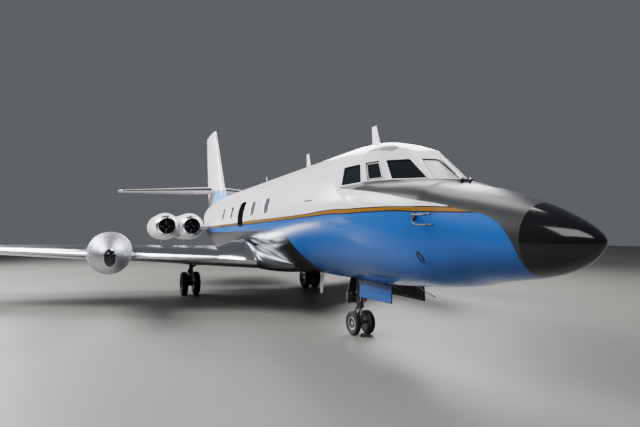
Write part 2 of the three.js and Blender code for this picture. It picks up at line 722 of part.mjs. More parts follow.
function engine(y) {
  const front = POD.front + DUCT[3][0] + TOUCH;
  const rear = POD.front + DUCT[2][0] - TOUCH;
  return turnedAlongX([
    [front - ENGINE.nose, 0], [front - ENGINE.nose / 2, ENGINE.hub * 0.8], [front, ENGINE.hub],
    [front, ENGINE.radius - TOUCH], [rear, ENGINE.radius - TOUCH], [rear, ENGINE.cone],
    [rear + ENGINE.tail, 0],
  ], y, POD.z, POD_SIDES);
}

// Landing gear

const tyreProfile = ({ tyre_r, tyre_w, hub_r }) => {
  const half = tyre_w / 2;
  const crown = tyre_r / Math.cos(Math.PI / WHEEL_SIDES);
  const side = (hub_r + crown) / 2;
  return [
    [hub_r, -half * 0.66], [side, -half], [crown - 20, -half * 0.76], [crown, -half * 0.4],
    [crown, half * 0.4], [crown - 20, half * 0.76], [side, half], [hub_r, half * 0.66],
    [hub_r, -half * 0.66],
  ];
};

const tyre = (gear, y) => turnedAlongY(tyreProfile(gear), gear.s, y, gear.tyre_r);

// Two hubs on one axle; each hub has a sunken outer face
function hubs(gear, y) {
  const half = gear.tyre_w * 0.33;
  const { offset, axle_r } = gear;
  const rim = gear.hub_r - TOUCH;
  const hub = (sign) => {
    const outer = sign * (offset + half * 0.95);
    const inner = sign * (offset - half * 0.95);
    const dish = sign * (offset + half * 0.2);
    const profile = [
      [0, inner], [rim, inner], [rim, outer], [rim * 0.8, outer], [rim * 0.62, dish], [0, dish],
    ];
    return turnedAlongY(sign > 0 ? profile : profile.reverse(), gear.s, y, gear.tyre_r);
  };
  const axle = turnedAlongY(
    [[0, -offset], [axle_r, -offset], [axle_r, offset], [0, offset]], gear.s, y, gear.tyre_r,
  );
  return join([hub(1), hub(-1), axle]);
}

// The sleeve at a leg's foot that the axle turns in
function axleSleeve(gear, y, width) {
  const outer = gear.axle_r * 1.9;
  const bore = (gear.axle_r + RUN) / Math.cos(Math.PI / WHEEL_SIDES);
  const sleeve = turnedAlongY(
    [[0, -width / 2], [outer, -width / 2], [outer, width / 2], [0, width / 2]], gear.s, y, gear.tyre_r,
  );
  const hole = turnedAlongY(
    [[0, -width], [bore, -width], [bore, width], [0, width]], gear.s, y, gear.tyre_r,
  );
  return { sleeve, hole };
}

const noseAxis = X(NOSE_GEAR.s);

function noseLeg() {
  const { top, split, radius } = NOSE_LEG;
  const onAxis = (z) => [noseAxis, 0, z];
  const barrel = bar(onAxis(split + RUN), onAxis(top - TOUCH), radius);
  const collar = bar(onAxis(LEG_COLLAR.low), onAxis(LEG_COLLAR.high), LEG_COLLAR.radius);
  const trunnionEnd = (side) => [noseAxis, side * TRUNNION.reach, TRUNNION.z];
  const trunnion = bar(trunnionEnd(-1), trunnionEnd(1), TRUNNION.radius);
  const braceHead = [noseAxis - LEG_BRACE.reach, 0, LEG_BRACE.head];
  const brace = bar(onAxis(LEG_BRACE.foot), braceHead, LEG_BRACE.radius);
  const back = NOSE_GEAR.s + LEG_DOOR_BACK;
  const rings = LEG_DOOR.map(([z, half, thick]) =>
    [[back, -half], [back, half], [back - thick, half], [back - thick, -half]].map(([s, y]) => [X(s), y, z]),
  );
  const { heights, half: armHalf, rise, short } = DOOR_ARMS;
  const arms = heights.map((z) =>
    block(NOSE_GEAR.s, back - short, -armHalf, armHalf, z - rise, z + rise),
  );
  return join([barrel, collar, trunnion, brace, solid(loft(rings)), ...arms]);
}

function noseFork() {
  const { split, radius, piston_r } = NOSE_LEG;
  const { sleeve, hole } = axleSleeve(NOSE_GEAR, 0, NOSE_LEG.block);
  const collar = bar([noseAxis, 0, split - NOSE_FORK.collar], [noseAxis, 0, split], radius);
  const pistonTop = [noseAxis, 0, split - NOSE_FORK.sunk];
  const piston = bar([noseAxis, 0, NOSE_GEAR.tyre_r], pistonTop, piston_r);
  const behindAxis = ([reach, z]) => [noseAxis - reach, 0, z];
  const knee = behindAxis([NOSE_FORK.knee, (split + NOSE_GEAR.tyre_r) / 2]);
  const links = [
    bar(behindAxis(NOSE_FORK.top), knee, NOSE_FORK.link_r),
    bar(knee, behindAxis(NOSE_FORK.foot), NOSE_FORK.link_r),
  ];
  return cut(join([collar, piston, sleeve, ...links]), [hole]);
}

// The main gear's braces end short of the belly fairing
const gearInset = block(7000, 11500, -1100, 1100, 700, 1500);

function mainLeg(side) {
  const { radius, top_s, top, split, piston_r } = MAIN_LEG;
  const y = side * MAIN_GEAR.y;
  const foot = [X(MAIN_GEAR.s), y, MAIN_GEAR.tyre_r];
  const head = [X(top_s), y, top];
  const along = (z) => head.map((v, i) => v + ((foot[i] - v) * (head[2] - z)) / (head[2] - foot[2]));
  const { sleeve, hole } = axleSleeve(MAIN_GEAR, y, MAIN_LEG.block);
  const barrel = bar(along(split), head, radius);
  const piston = bar(foot, along(split - 5), piston_r);
  const [, inwards, braceFoot] = MAIN_BRACE.foot;
  const [forward, headY, braceHead] = MAIN_BRACE.head;
  const brace = bar(
    [X(top_s), side * (MAIN_GEAR.y - inwards), braceFoot],
    [X(top_s - forward), side * headY, braceHead],
    MAIN_BRACE.radius,
  );
  const aheadOfFoot = ([reach, z]) => [foot[0] + reach, y, z];
  const { knee, rise } = MAIN_LINKS;
  const links = [
    bar(aheadOfFoot(MAIN_LINKS.top), aheadOfFoot(knee), MAIN_LINKS.radius),
    bar(aheadOfFoot([knee[0], knee[1] + rise]), aheadOfFoot(MAIN_LINKS.foot), MAIN_LINKS.radius),
  ];
  const { front, rear, inner, outer, low, high } = MAIN_DOOR;
  const doorPlate = block(top_s - front, top_s + rear, y + side * inner, y + side * outer, low, high);
  const stay = DOOR_STAY;
  const doorStay = block(
    top_s - stay.front, top_s + stay.rear, y, y + side * stay.reach, stay.low, stay.high,
  );
  const legs = join([barrel, piston, brace, sleeve, ...links, doorPlate, doorStay]);
  return cut(legs, [hole, wingSpace(side), gearInset]);
}

// Furniture

function seat(s, y) {
  const { width, depth, base, back, thick } = SEAT;
  const { inset, half, towards_middle, into_seat } = PEDESTAL;
  const rear = s + depth;
  const footY = y * towards_middle;
  return join([
    block(s, rear, y - width / 2, y + width / 2, base - thick, base),
    block(rear, rear + thick, y - width / 2, y + width / 2, base - thick, back),
    block(s + inset, rear - inset, footY - half, footY + half, FLOOR_Z + FOOT, base - into_seat),
  ]);
}

function cockpitInterior() {
  const floor = block(...COCKPIT_FLOOR, FLOOR_Z + TOUCH, FLOOR_Z + PLATE);
  const footwell = block(...FOOTWELL, FLOOR_Z + FOOT, FOOTWELL_TOP);
  const console = block(...CONSOLE, FLOOR_Z + FOOT, CONSOLE_TOP);
  const seats = [1, -1].map((side) => seat(CREW_SEAT.s, side * CREW_SEAT.y));
  return join([floor, block(...PANEL), block(...SHROUD), footwell, console, ...seats]);
}

function cabinInterior() {
  const floor = block(...CABIN_FLOOR, FLOOR_Z + TOUCH, FLOOR_Z + PLATE);
  const seats = CABIN_SEATS.stations.flatMap((s) =>
    [1, -1].map((side) => seat(s, side * CABIN_SEATS.y)),
  );
  return join([floor, ...seats]);
}

// Assembly

const root = new THREE.Group();

function add(name, body, look) {
  const geometry = body.isBufferGeometry ? body : surface(body);
  const mesh = new THREE.Mesh(geometry, LOOK[look]);
  mesh.name = name;
  root.add(mesh);
}

add("radome", hull(0, JOINTS.radome - TOUCH), "black");
add("nose_section", hull(JOINTS.radome, JOINTS.nose), "blue");
add("cockpit_section", cockpitSection(), "white");
add("cabin_section", cabinSection(), "white");
add("cabin_keel", cabinKeel(), "blue");
add("aft_fuselage", aftFuselage(), "white");
add("tail_cone", hull(JOINTS.aft, JOINTS.cone), "metal");
add("entry_door", entryDoor(), "white");
add("cockpit_interior", cockpitInterior(), "trim");
add("cabin_interior", cabinInterior(), "trim");
add("belly_fairing", fairing(), "metal");
add("cabin_windows_left", windowRun(PORT_WINDOWS, 1), "glass");
add("cabin_windows_right_front", windowRun([0, 1], -1), "glass");
add("cabin_windows_right_rear", windowRun([3, 4], -1), "glass");
add("fin", fin(), "white");
add("rudder", control(FIN, 1, RUDDER), "white");
add("tailplane", tailplane(), "white");
add("nose_gear_leg", noseLeg(), "dark");
add("nose_gear_fork", noseFork(), "dark");
add("nose_wheel_hubs", hubs(NOSE_GEAR, 0), "grey");
for (const [name, side] of [["left", 1], ["right", -1]]) {
  for (const [pane, corners] of Object.entries(COCKPIT_PANES))
    add(`${pane}_${name}`, paneBody(corners, side, 1, -PANE_INSET, -PANE_INSET - PANE_THICK), "glass");
  add(`nose_door_${name}`, noseDoor(side), "blue");
  add(`nose_tyre_${name}`, tyre(NOSE_GEAR, side * NOSE_GEAR.offset), "rubber");
  add(`wing_${name}`, wing(side), "metal");
  for (const row of WING_CONTROLS) add(`${row[0]}_${name}`, control(WING, side, row), "metal");
  add(`elevator_${name}`, control(TAILPLANE, side, ELEVATOR), "white");
  add(`tank_${name}`, tank(side), "metal");
  add(`nacelle_${name}`, nacelle(side), "white");
  add(`pylon_${name}`, pylon(side), "white");
  podCentres(side).forEach((y, i) => add(`engine_${name}_${["inner", "outer"][i]}`, engine(y), "dark"));
  add(`main_gear_leg_${name}`, mainLeg(side), "grey");
  add(`main_wheel_hubs_${name}`, hubs(MAIN_GEAR, side * MAIN_GEAR.y), "grey");
  for (const [end, shift] of [["outer", 1], ["inner", -1]])
    add(
      `main_tyre_${name}_${end}`,
      tyre(MAIN_GEAR, side * (MAIN_GEAR.y + shift * MAIN_GEAR.offset)),
      "rubber",
    );
}

export default root;
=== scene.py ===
"""A four-engined business jet parked on its gear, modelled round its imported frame."""

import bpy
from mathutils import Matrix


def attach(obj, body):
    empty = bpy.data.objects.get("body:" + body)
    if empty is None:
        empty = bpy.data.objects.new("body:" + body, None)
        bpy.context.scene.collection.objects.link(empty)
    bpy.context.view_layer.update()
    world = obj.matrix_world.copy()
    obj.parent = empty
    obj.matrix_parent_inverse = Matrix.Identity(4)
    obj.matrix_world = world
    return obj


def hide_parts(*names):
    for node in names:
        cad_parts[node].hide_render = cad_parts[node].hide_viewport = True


bl_info = {
    "name": "Business jet",
    "version": (1, 0, 0),
    "blender": (4, 5, 0),
    "location": "3D View > Sidebar > Jet",
    "description": "Builds the skin, glazing, cabin, gear and finishes of a business jet",
    "category": "Object",
}

from math import copysign, cos, hypot, pi, radians, sin, sqrt, tau

import bmesh
import bpy
from mathutils import Matrix, Vector
from mathutils.bvhtree import BVHTree

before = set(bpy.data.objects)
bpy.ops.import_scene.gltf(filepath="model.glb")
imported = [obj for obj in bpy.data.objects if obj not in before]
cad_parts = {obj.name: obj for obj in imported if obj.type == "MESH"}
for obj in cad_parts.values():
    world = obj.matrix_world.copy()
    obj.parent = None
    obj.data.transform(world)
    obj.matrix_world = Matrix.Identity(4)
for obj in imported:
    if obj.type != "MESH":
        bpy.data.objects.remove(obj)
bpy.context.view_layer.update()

# Stations are metres behind the nose tip; y is to port and z is up from the ground
NOSE = 9.205
SIDES = (("left", 1), ("right", -1))
SKIN, INNER, BROW_FACE, EXTRA = 0, 1, 2, 3  # material indices of a piece's parts


def at(s, y, z):
    return Vector((NOSE - s, y, z))


def linear(code):
    """An sRGB hex value as the linear colour that a shader takes."""
    channels = [int(code[i:i + 2], 16) / 255 for i in (1, 3, 5)]
    curved = [c / 12.92 if c <= 0.04045 else ((c + 0.055) / 1.055) ** 2.4 for c in channels]
    return (*curved, 1.0)


def monotone(points):
    """A smooth curve through the points that never overshoots them."""
    xs = [p[0] for p in points]
    ys = [p[1] for p in points]
    slopes = [(b - a) / (q - p) for p, q, a, b in zip(xs, xs[1:], ys, ys[1:])]
    tangents = [slopes[0]]
    for (p, q, r), (a, b) in zip(zip(xs, xs[1:], xs[2:]), zip(slopes, slopes[1:])):
        near, far = 2 * (r - q) + q - p, r - q + 2 * (q - p)
        tangents.append((near + far) / (near / a + far / b) if a * b > 0 else 0.0)
    tangents.append(slopes[-1])

    def value(x):
        x = min(max(x, xs[0]), xs[-1])
        i = next((k for k in range(len(xs) - 2) if x < xs[k + 1]), len(xs) - 2)
        step = xs[i + 1] - xs[i]
        t = (x - xs[i]) / step
        rise = ys[i + 1] - ys[i]
        a, b = tangents[i] * step, tangents[i + 1] * step
        return ys[i] + t * (a + t * (3 * rise - 2 * a - b + t * (a + b - 2 * rise)))

    return value


def blunt(profile):
    """A turned body's radius along its axis, with a round nose at the first station."""
    front = profile[0][0]
    curve = monotone([(sqrt(s - front), r) for s, r in profile])
    return lambda s: curve(sqrt(max(s - front, 0)))


# Fuselage sections: station, crown, keel, half width, height of the widest point, squareness
HULL = (
    (0, 1.63, 1.63, 0, 1.63, 2), (0.025, 1.683, 1.555, 0.064, 1.627, 2),
    (0.09, 1.742, 1.472, 0.132, 1.624, 2), (0.22, 1.83, 1.383, 0.232, 1.622, 2),
    (0.4, 1.926, 1.307, 0.33, 1.626, 2), (0.6, 2.016, 1.256, 0.416, 1.636, 2.05),
    (0.84, 2.108, 1.212, 0.51, 1.662, 2.1), (1.1, 2.19, 1.166, 0.605, 1.7, 2.2),
    (1.38, 2.258, 1.098, 0.705, 1.75, 2.5), (1.6, 2.33, 1.068, 0.79, 1.795, 2.9),
    (1.64, 2.42, 1.063, 0.805, 1.803, 2.9), (1.76, 2.6, 1.052, 0.85, 1.83, 2.8),
    (1.95, 2.74, 1.037, 0.912, 1.88, 2.65), (2.12, 2.8, 1.02, 0.955, 1.92, 2.55),
    (2.24, 2.812, 1.008, 0.982, 1.945, 2.45), (2.44, 2.902, 0.992, 1.016, 1.972, 2.35),
    (2.66, 2.985, 0.975, 1.045, 1.995, 2.2), (3.02, 3.072, 0.957, 1.068, 2.015, 2.08),
    (3.6, 3.11, 0.95, 1.08, 2.03, 2), (11.2, 3.11, 0.95, 1.08, 2.03, 2),
    (12.5, 3.1, 1.07, 1.01, 2.06, 2), (14, 3.06, 1.35, 0.83, 2.18, 2),
    (15.3, 2.99, 1.69, 0.61, 2.33, 2), (16.6, 2.89, 2.09, 0.37, 2.48, 2),
    (17.3, 2.82, 2.33, 0.235, 2.57, 2), (17.6, 2.74, 2.48, 0.11, 2.61, 2),
)
RADOME_END, NOSE_END, COCKPIT_END = 0.55, 1.545, 3.6
CABIN_END, AFT_END, CONE_END = 11.2, 15.3, 17.6
NOSE_CURVES = [monotone([(sqrt(row[0]), row[k]) for row in HULL[:9]]) for k in range(1, 6)]
HULL_CURVES = [monotone([(row[0], row[k]) for row in HULL]) for k in range(1, 6)]
ROUND_NOSE = 0.6  # ahead of this station the sections follow the root of the distance
WALL = 0.12
COCKPIT_WALL = 0.08
FLOOR_Z = 1.3

# The flat cockpit facets and their panes, as corners on the port side
FACETS = (
    ((1.58, 0.03, 2.33), (1.858, 0.31, 2.386), (2.178, 0.295, 2.672)),
    ((1.858, 0.31, 2.386), (2.244, 0.68, 2.4), (2.178, 0.295, 2.672)),
    ((2.244, 0.68, 2.4), (2.55, 0.85, 2.4), (2.486, 0.6, 2.675)),
    ((2.55, 0.85, 2.4), (2.9, 0.95, 2.4), (2.737, 0.745, 2.668)),
)
FACET_FLOOR = 2.0
PANES = {
    "windscreen": ((1.634, 0.047, 2.366), (1.84, 0.286, 2.387), (2.13, 0.227, 2.675),
                   (1.988, 0.071, 2.654)),
    "quarter_window": ((1.884, 0.335, 2.387), (2.203, 0.643, 2.396), (2.451, 0.557, 2.681),
                       (2.224, 0.336, 2.677)),
    "sliding_window": ((2.3, 0.704, 2.409), (2.506, 0.823, 2.403), (2.703, 0.722, 2.673),
                       (2.521, 0.613, 2.683)),
    "rear_window": ((2.58, 0.868, 2.384), (2.929, 0.976, 2.371), (3.068, 0.85, 2.65),
                    (2.776, 0.757, 2.666)),
}
PANE_CORNER = 0.022
# The brow that carries the nose aft under the windows, once the hull steps up: station, crown
BROW = ((1.6, 2.33), (1.76, 2.365), (1.95, 2.4), (2.12, 2.422), (2.24, 2.44),
        (2.44, 2.475), (2.66, 2.49), (3.02, 2.49), (3.3, 2.45))
BROW_SQUARE = 2.9

# Cabin windows, the over-wing exit and the entry door
WINDOW_FIRST, WINDOW_PITCH = 6.03, 0.968
WINDOW = {"width": 0.33, "low": 2.14, "high": 2.44, "corner": 0.09}
WINDOWS_ON = {1: (0, 1, 2, 3, 4), -1: (0, 1, 3, 4)}
EXIT = {"front": 7.68, "rear": 8.2, "low": 1.9, "high": 2.51, "corner": 0.11}
DOOR = {"front": 3.76, "rear": 4.48, "low": 1.33, "high": 2.79, "corner": 0.12}
WELL = {"front": 2.73, "rear": 4.37, "half": 0.3, "top": 1.24}
NOSE_DOOR = {"front": 2.745, "rear": 3.575, "hinge_y": 0.28}

# Flying surfaces: quarter-chord line, chord and thickness run straight from root to tip
WING = dict(root=0.92, tip=8.293, quarter=7.12, sweep=0.5774, chord=4.55, taper=0.3619, z=1.142,
            rise=0.035, thick=0.12, thin=0.09, camber=0.012, upright=False)
TAILPLANE = dict(root=0.0, tip=3.77, quarter=15.85, sweep=0.4878, chord=2.6, taper=0.435, z=3.6,
                 rise=0, thick=0.1, thin=0.09, camber=0, upright=False)
FIN = dict(root=2.9, tip=6.22, quarter=13.558, sweep=0.4939, chord=4.635, taper=0.4397, z=0,
           rise=0, thick=0.11, thin=0.09, camber=0, upright=True)
# Controls: name, inner end, outer end, hinge as a share of the chord, gap at the ends
WING_CONTROLS = (
    ("flap_inboard", 1.27, 3.37, 0.84, 0.034),
    ("flap_outboard", 4.45, 5.75, 0.79, 0.034),
    ("aileron", 5.83, 8.01, 0.77, 0.02),
)
ELEVATOR = ("elevator", 0.5, 3.56, 0.7, 0.02)
RUDDER = ("rudder", 3.01, 6.05, 0.72, 0.02)
EDGE_THICK, TIP_ROUND = 0.0015, 0.09
SLOT = 0.016
TAIL_NOTCH = {"half": 0.51, "station": 16.56}

FAIRING = (
    (5.7, 0.56, 0.985, 1.19), (6.05, 0.82, 0.925, 1.33), (6.5, 1.01, 0.88, 1.47),
    (7.1, 1.085, 0.865, 1.56), (10.3, 1.085, 0.865, 1.56), (11.1, 1.0, 0.89, 1.48),
    (11.7, 0.7, 0.96, 1.27),
)
FAIRING_SQUARE = 2.8
TANK_Y, TANK_Z = 3.9, 1.35
TANK_PROFILE = (
    (5.88, 0), (5.91, 0.088), (6.02, 0.192), (6.28, 0.305), (6.8, 0.388), (7.6, 0.422),
    (8.2, 0.43), (9.3, 0.43),
    (10.3, 0.38), (11.2, 0.23), (11.68, 0),
)
TANK_RADIUS = blunt(TANK_PROFILE)
TANK_LAMP = {"y": 3.88, "z": 1.3, "wide": 0.09, "tall": 0.15}
TANK_BANDS = (6.3, 7.45, 9.6)
BAND_PROFILE = ((-0.014, -0.004), (-0.014, 0.001), (-0.011, 0.003), (0.011, 0.003), (0.014, 0.001),
    (0.014, -0.004))
TANK_SEAM = ((4.19, 1.515), (4.11, 1.42), (4.03, 1.33))
POD = {"inner": 1.64, "outer": 2.39, "z": 1.99, "front": 11.58}
POD_MIDDLE = (POD["inner"] + POD["outer"]) / 2
WEB_ENDS = (0.45, 2.9)
COWL = ((0.08, 0.325), (0.25, 0.38), (0.7, 0.43), (2.3, 0.43), (3.0, 0.392), (3.62, 0.292))
LIP = ((0.1, 0.33), (0.05, 0.31), (0.012, 0.284), (0, 0.262), (0, 0.246), (0.012, 0.238),
       (0.06, 0.23))
DUCT = ((0.06, 0.23), (0.2, 0.234), (0.42, 0.246), (0.42, 0.298))
CORE = ((0.25, 0), (0.27, 0.03), (0.33, 0.062), (0.42, 0.08), (0.44, 0.298), (2.6, 0.298),
    (2.64, 0.15), (2.85, 0.11), (3.08, 0))
TAILPIPE = ((2.66, 0.298), (2.66, 0.252), (3.62, 0.262))
PYLON = {"front": 12.05, "rear": 14.9, "inner": 0.6, "outer": 1.56, "half": 0.095}

NOSE_GEAR = dict(s=4.09, y=0, r=0.2, w=0.104, hub=0.112, offset=0.138, axle=0.022)
MAIN_GEAR = dict(s=10.37, y=1.875, r=0.33, w=0.168, hub=0.185, offset=0.165, axle=0.038)
NOSE_LEG = dict(radius=0.062, top=1.2397, split=0.52, piston=0.04, block=0.12)
# The door that the nose leg carries behind it: z, half width, thickness
LEG_DOOR = ((0.53, 0.19, 0.06), (0.665, 0.19, 0.06), (0.68, 0.184, 0.022), (0.96, 0.095, 0.022))
LEG_DOOR_S = 4.24
MAIN_LEG = dict(radius=0.072, top_s=10.255, top=1.2, split=0.64, piston=0.052, block=0.14)
CARPET_Z = (FLOOR_Z + 0.0003, FLOOR_Z + 0.025)
SEAT = dict(width=0.46, depth=0.47, base=1.7, back=2.33, thick=0.12)
CABIN_SEATS = (5.6, 6.56, 8.5, 9.46)
PILOT_SEAT_S = 2.68


# What a user would change


class JetSizes(bpy.types.PropertyGroup):
    hull_sides: bpy.props.IntProperty(name="Fuselage sides",
        description="Faces round the fuselage skin", default=96, min=24)
    frame_width: bpy.props.FloatProperty(name="Window frame width",
        description="Width of the mouldings round the cockpit panes", default=0.02, min=0.004,
        unit="LENGTH")
    rivet_pitch: bpy.props.FloatProperty(name="Rivet pitch",
        description="Spacing of the rivets along a lap joint", default=0.025, min=0.005,
        unit="LENGTH")
    sheet_pitch: bpy.props.FloatProperty(name="Sheet pitch",
        description="Spacing of the lap joints, one to a frame", default=0.484, min=0.1,
        unit="LENGTH")
    pinstripe: bpy.props.FloatProperty(name="Pinstripe width",
        description="Half width of the dark lines that edge the gold band", default=0.007, min=0,
        unit="LENGTH")
    boot_share: bpy.props.FloatProperty(name="Boot depth",
        description="Share of the chord that a de-icer boot covers", default=0.022, min=0.005,
        max=0.2, subtype="FACTOR")
    groove_depth: bpy.props.FloatProperty(name="Tread groove depth",
        description="Depth of the grooves round each tyre", default=0.006, min=0, unit="LENGTH")
    aerial_height: bpy.props.FloatProperty(name="Roof aerial height",
        description="Height of the blade aerials over the skin", default=0.37, min=0.05,
        unit="LENGTH")


def colour_property(name, description, code):
    return bpy.props.FloatVectorProperty(name=name, description=description, subtype="COLOR",
        size=4, min=0, max=1, default=linear(code))


class JetColours(bpy.types.PropertyGroup):
    white: colour_property("White", "Upper fuselage, pods and tail", "#e9e3e6")
    white_shade: colour_property("White, chalked", "Where the white has weathered", "#dbd6d9")
    blue: colour_property("Blue", "Lower nose and cheat band", "#1c57a6")
    blue_shade: colour_property("Blue, chalked", "Where the blue has weathered", "#1a4f99")
    # Light blue paint, made paler still as painted highlight
    blue_painted_highlight: colour_property("Pale blue", "Fairing at the root of the fin", "#4f9fe0")
    gold: colour_property("Gold", "Band between white and blue", "#7f5714")
    black: colour_property("Black", "Anti-glare brow ahead of the windscreen", "#29292c")
    line: colour_property("Line", "Thin lines that edge the gold band", "#141519")
    metal: colour_property("Polished metal", "Bare wings and fairings", "#dfe2e6")
    # Bare metal made dark as painted shade and painted reflection of a dark floor
    belly_metal_painted_shade: colour_property("Dull metal", "Bare lower fuselage behind the blue", "#6c7074")


class JetStage(bpy.types.PropertyGroup):
    fill: bpy.props.FloatProperty(name="Fill light",
        description="Strength of the even light all round", default=0.2, min=0)
    power: bpy.props.FloatProperty(name="Lamp power",
        description="Strength of the soft lamps together", default=1.0, min=0)
    floor: colour_property("Floor", "Pale floor under the jet", "#7d7b77")


# Mesh helpers


def superellipse(s, crown, keel, half, middle, square, sides, inset=0.0):
    """One fuselage section as a ring of points."""
    power = 2 / square
    ring = []
    for i in range(sides):
        c, n = cos(tau * i / sides), sin(tau * i / sides)
        rise = (crown - middle if n > 0 else middle - keel) - inset
        y = (half - inset) * copysign(abs(c) ** power, c)
        ring.append(at(s, y, middle + rise * copysign(abs(n) ** power, n)))
    return ring


def hull_row(s):
    """Crown, keel, half width, height of the widest point and squareness at a station."""
    if s < ROUND_NOSE:
        return [curve(sqrt(s)) for curve in NOSE_CURVES]
    return [curve(s) for curve in HULL_CURVES]


def skin_point(s, z, side, lift=0.0):
    """A point of the fuselage side at a station and height, lifted off it."""
    crown, keel, half, middle, square = hull_row(s)
    rise = crown - middle if z > middle else middle - keel
    share = min(abs(z - middle) / rise, 1)
    return at(s, side * (half * (1 - share ** square) ** (1 / square) + lift), z)


def roof_point(s, y, lift=0.0):
    crown, _, half, middle, square = hull_row(s)
    share = min(abs(y) / half, 1)
    return at(s, y, middle + (crown - middle) * (1 - share ** square) ** (1 / square) + lift)


def keel_point(s, y, lift):
    _, keel, half, middle, square = hull_row(s)
    share = min(abs(y) / half, 1)
    return at(s, y, middle - (middle - keel) * (1 - share ** square) ** (1 / square) + lift)


def steps(start, end, count):
    return [start + (end - start) * i / count for i in range(count + 1)]


def patch(place, across, around, closed=True, ends=True):
    """A grid laid where place(u, v) says; closed round v, with its ends filled."""
    bm = bmesh.new()
    bmesh.ops.create_grid(bm, x_segments=across, y_segments=around, size=0.5)
    for vert in bm.verts:
        vert.co = place(vert.co.x + 0.5, vert.co.y + 0.5)
    if closed:
        rims = [edge for edge in merged(bm).edges if edge.is_boundary]
        if ends and rims:
            bmesh.ops.holes_fill(bm, edges=rims, sides=0)
        outward(bm)
    return bm


def lofted(rings, ends=True):
    """A closed skin through rings of equal point count."""
    sides = len(rings[0])

    def place(u, v):
        return rings[round(u * (len(rings) - 1))][round(v * sides) % sides]

    return patch(place, len(rings) - 1, sides, ends=ends)


def turned(profile, axis, centre, sides, closed=False):
    """A profile of (along, radius) spun about X or Y; along X it runs aft."""
    bm = bmesh.new()
    along = Vector((-1, 0, 0)) if axis == "X" else Vector((0, 1, 0))
    verts = [bm.verts.new(Vector(centre) + along * a + Vector((0, 0, r))) for a, r in profile]
    pairs = list(zip(verts, verts[1:])) + ([(verts[-1], verts[0])] if closed else [])
    edges = [bm.edges.new(pair) for pair in pairs]
    bmesh.ops.spin(bm, geom=verts + edges, cent=centre, axis=along, angle=tau, steps=sides,
        use_merge=True)
    return outward(merged(bm))


def placed(bm, direction, centre):
    """The mesh turned so that its Z axis points along a direction, and moved to a centre."""
    turn = Vector(direction).to_track_quat("Z", "Y").to_matrix().to_4x4()
    bmesh.ops.transform(bm, matrix=Matrix.Translation(Vector(centre)) @ turn, verts=bm.verts[:])
    return bm


def mesh_of(name, bm):
    """The mesh data of a working mesh, which is then freed."""
    mesh = bpy.data.meshes.new(name)
    bm.to_mesh(mesh)
    bm.free()
    return mesh


def joined(parts):
    whole = bmesh.new()
    for part in parts:
        mesh = mesh_of("part", part)
        whole.from_mesh(mesh)
        bpy.data.meshes.remove(mesh)
    return whole


def outward(bm):
    bmesh.ops.recalc_face_normals(bm, faces=bm.faces[:])
    return bm


def thickened(bm, thick):
    """An open sheet given a thickness."""
    bmesh.ops.solidify(bm, geom=bm.faces[:], thickness=thick)
    return bm


def turned_towards(bm, direction):
    """The mesh with each face that looks the other way flipped."""
    for face in bm.faces:
        face.normal_update()
        if face.normal.dot(direction) < 0:
            face.normal_flip()
    return bm


def linked(name, data):
    obj = bpy.data.objects.new(name, data)
    bpy.context.scene.collection.objects.link(obj)
    return obj


def faced(bm, index):
    """The mesh with every face given one material index."""
    for face in bm.faces:
        face.material_index = index
    return bm


def merged(bm, dist=1e-5):
    """The mesh with points that meet made one."""
    bmesh.ops.remove_doubles(bm, verts=bm.verts[:], dist=dist)
    return bm


def bevelled(bm, width, angle=30):
    sharp = [edge for edge in bm.edges if edge.calc_face_angle(0) > radians(angle)]
    bmesh.ops.bevel(bm, geom=sharp, offset=width, offset_type="OFFSET", affect="EDGES", segments=2,
        profile=0.5, material=-1, clamp_overlap=True)
    return bm


def slab(s, y, z, bevel=0.004):
    """A block between two stations, two sides and two heights, with eased edges."""
    bm = bmesh.new()
    bmesh.ops.create_cube(bm, size=1)
    bmesh.ops.scale(bm, vec=[abs(b - a) for a, b in (s, y, z)], verts=bm.verts[:])
    middle = at(*((a + b) / 2 for a, b in (s, y, z)))
    bmesh.ops.translate(bm, vec=middle, verts=bm.verts[:])
    return bevelled(bm, bevel) if bevel else bm


def rod(start, end, radius, thin=None, sides=20, bevel=0.003):
    """A round bar between two points, thinner at its end if asked."""
    start, end = Vector(start), Vector(end)
    bm = bmesh.new()
    bmesh.ops.create_cone(bm, cap_ends=True, segments=sides, radius1=radius,
        radius2=radius if thin is None else thin, depth=(end - start).length)
    placed(bm, end - start, (start + end) / 2)
    return bevelled(bm, bevel, angle=60) if bevel else bm


def tube(path, radius, sides=10):
    """A round tube along a path of points."""
    points = [Vector(p) for p in path]
    rings = []
    across = None
    for i, point in enumerate(points):
        ahead = (points[min(i + 1, len(points) - 1)] - points[max(i - 1, 0)]).normalized()
        across = across - ahead * across.dot(ahead) if across else ahead.orthogonal()
        across.normalize()
        up = ahead.cross(across)
        turns = [tau * k / sides for k in range(sides)]
        rings.append([point + radius * (across * cos(a) + up * sin(a)) for a in turns])
    return lofted(rings)


def bent(points, rounds=3):
    """The path with its corners cut, so that a tube along it bends smoothly."""
    path = [Vector(p) for p in points]
    for _ in range(rounds):
        cuts = [path[0]]
        for a, b in zip(path, path[1:]):
            cuts += [a.lerp(b, 0.25), a.lerp(b, 0.75)]
        path = cuts + [path[-1]]
    return path


def outline(corners, radius):
    """A flat polygon of the corners, each rounded off."""
    bm = bmesh.new()
    face = bm.faces.new([bm.verts.new(corner) for corner in corners])
    if radius:
        bmesh.ops.bevel(bm, geom=list(face.verts), offset=radius, offset_type="OFFSET",
            affect="VERTICES", segments=5, profile=0.5, material=-1)
    return bm


def prism(corners, radius, out, back):
    """The rounded outline drawn out into a block between two offsets."""
    bm = outline([Vector(c) + Vector(out) for c in corners], radius)
    made = bmesh.ops.extrude_face_region(bm, geom=bm.faces[:])["geom"]
    moved = [item for item in made if isinstance(item, bmesh.types.BMVert)]
    bmesh.ops.translate(bm, vec=Vector(back) - Vector(out), verts=moved)
    return outward(bm)


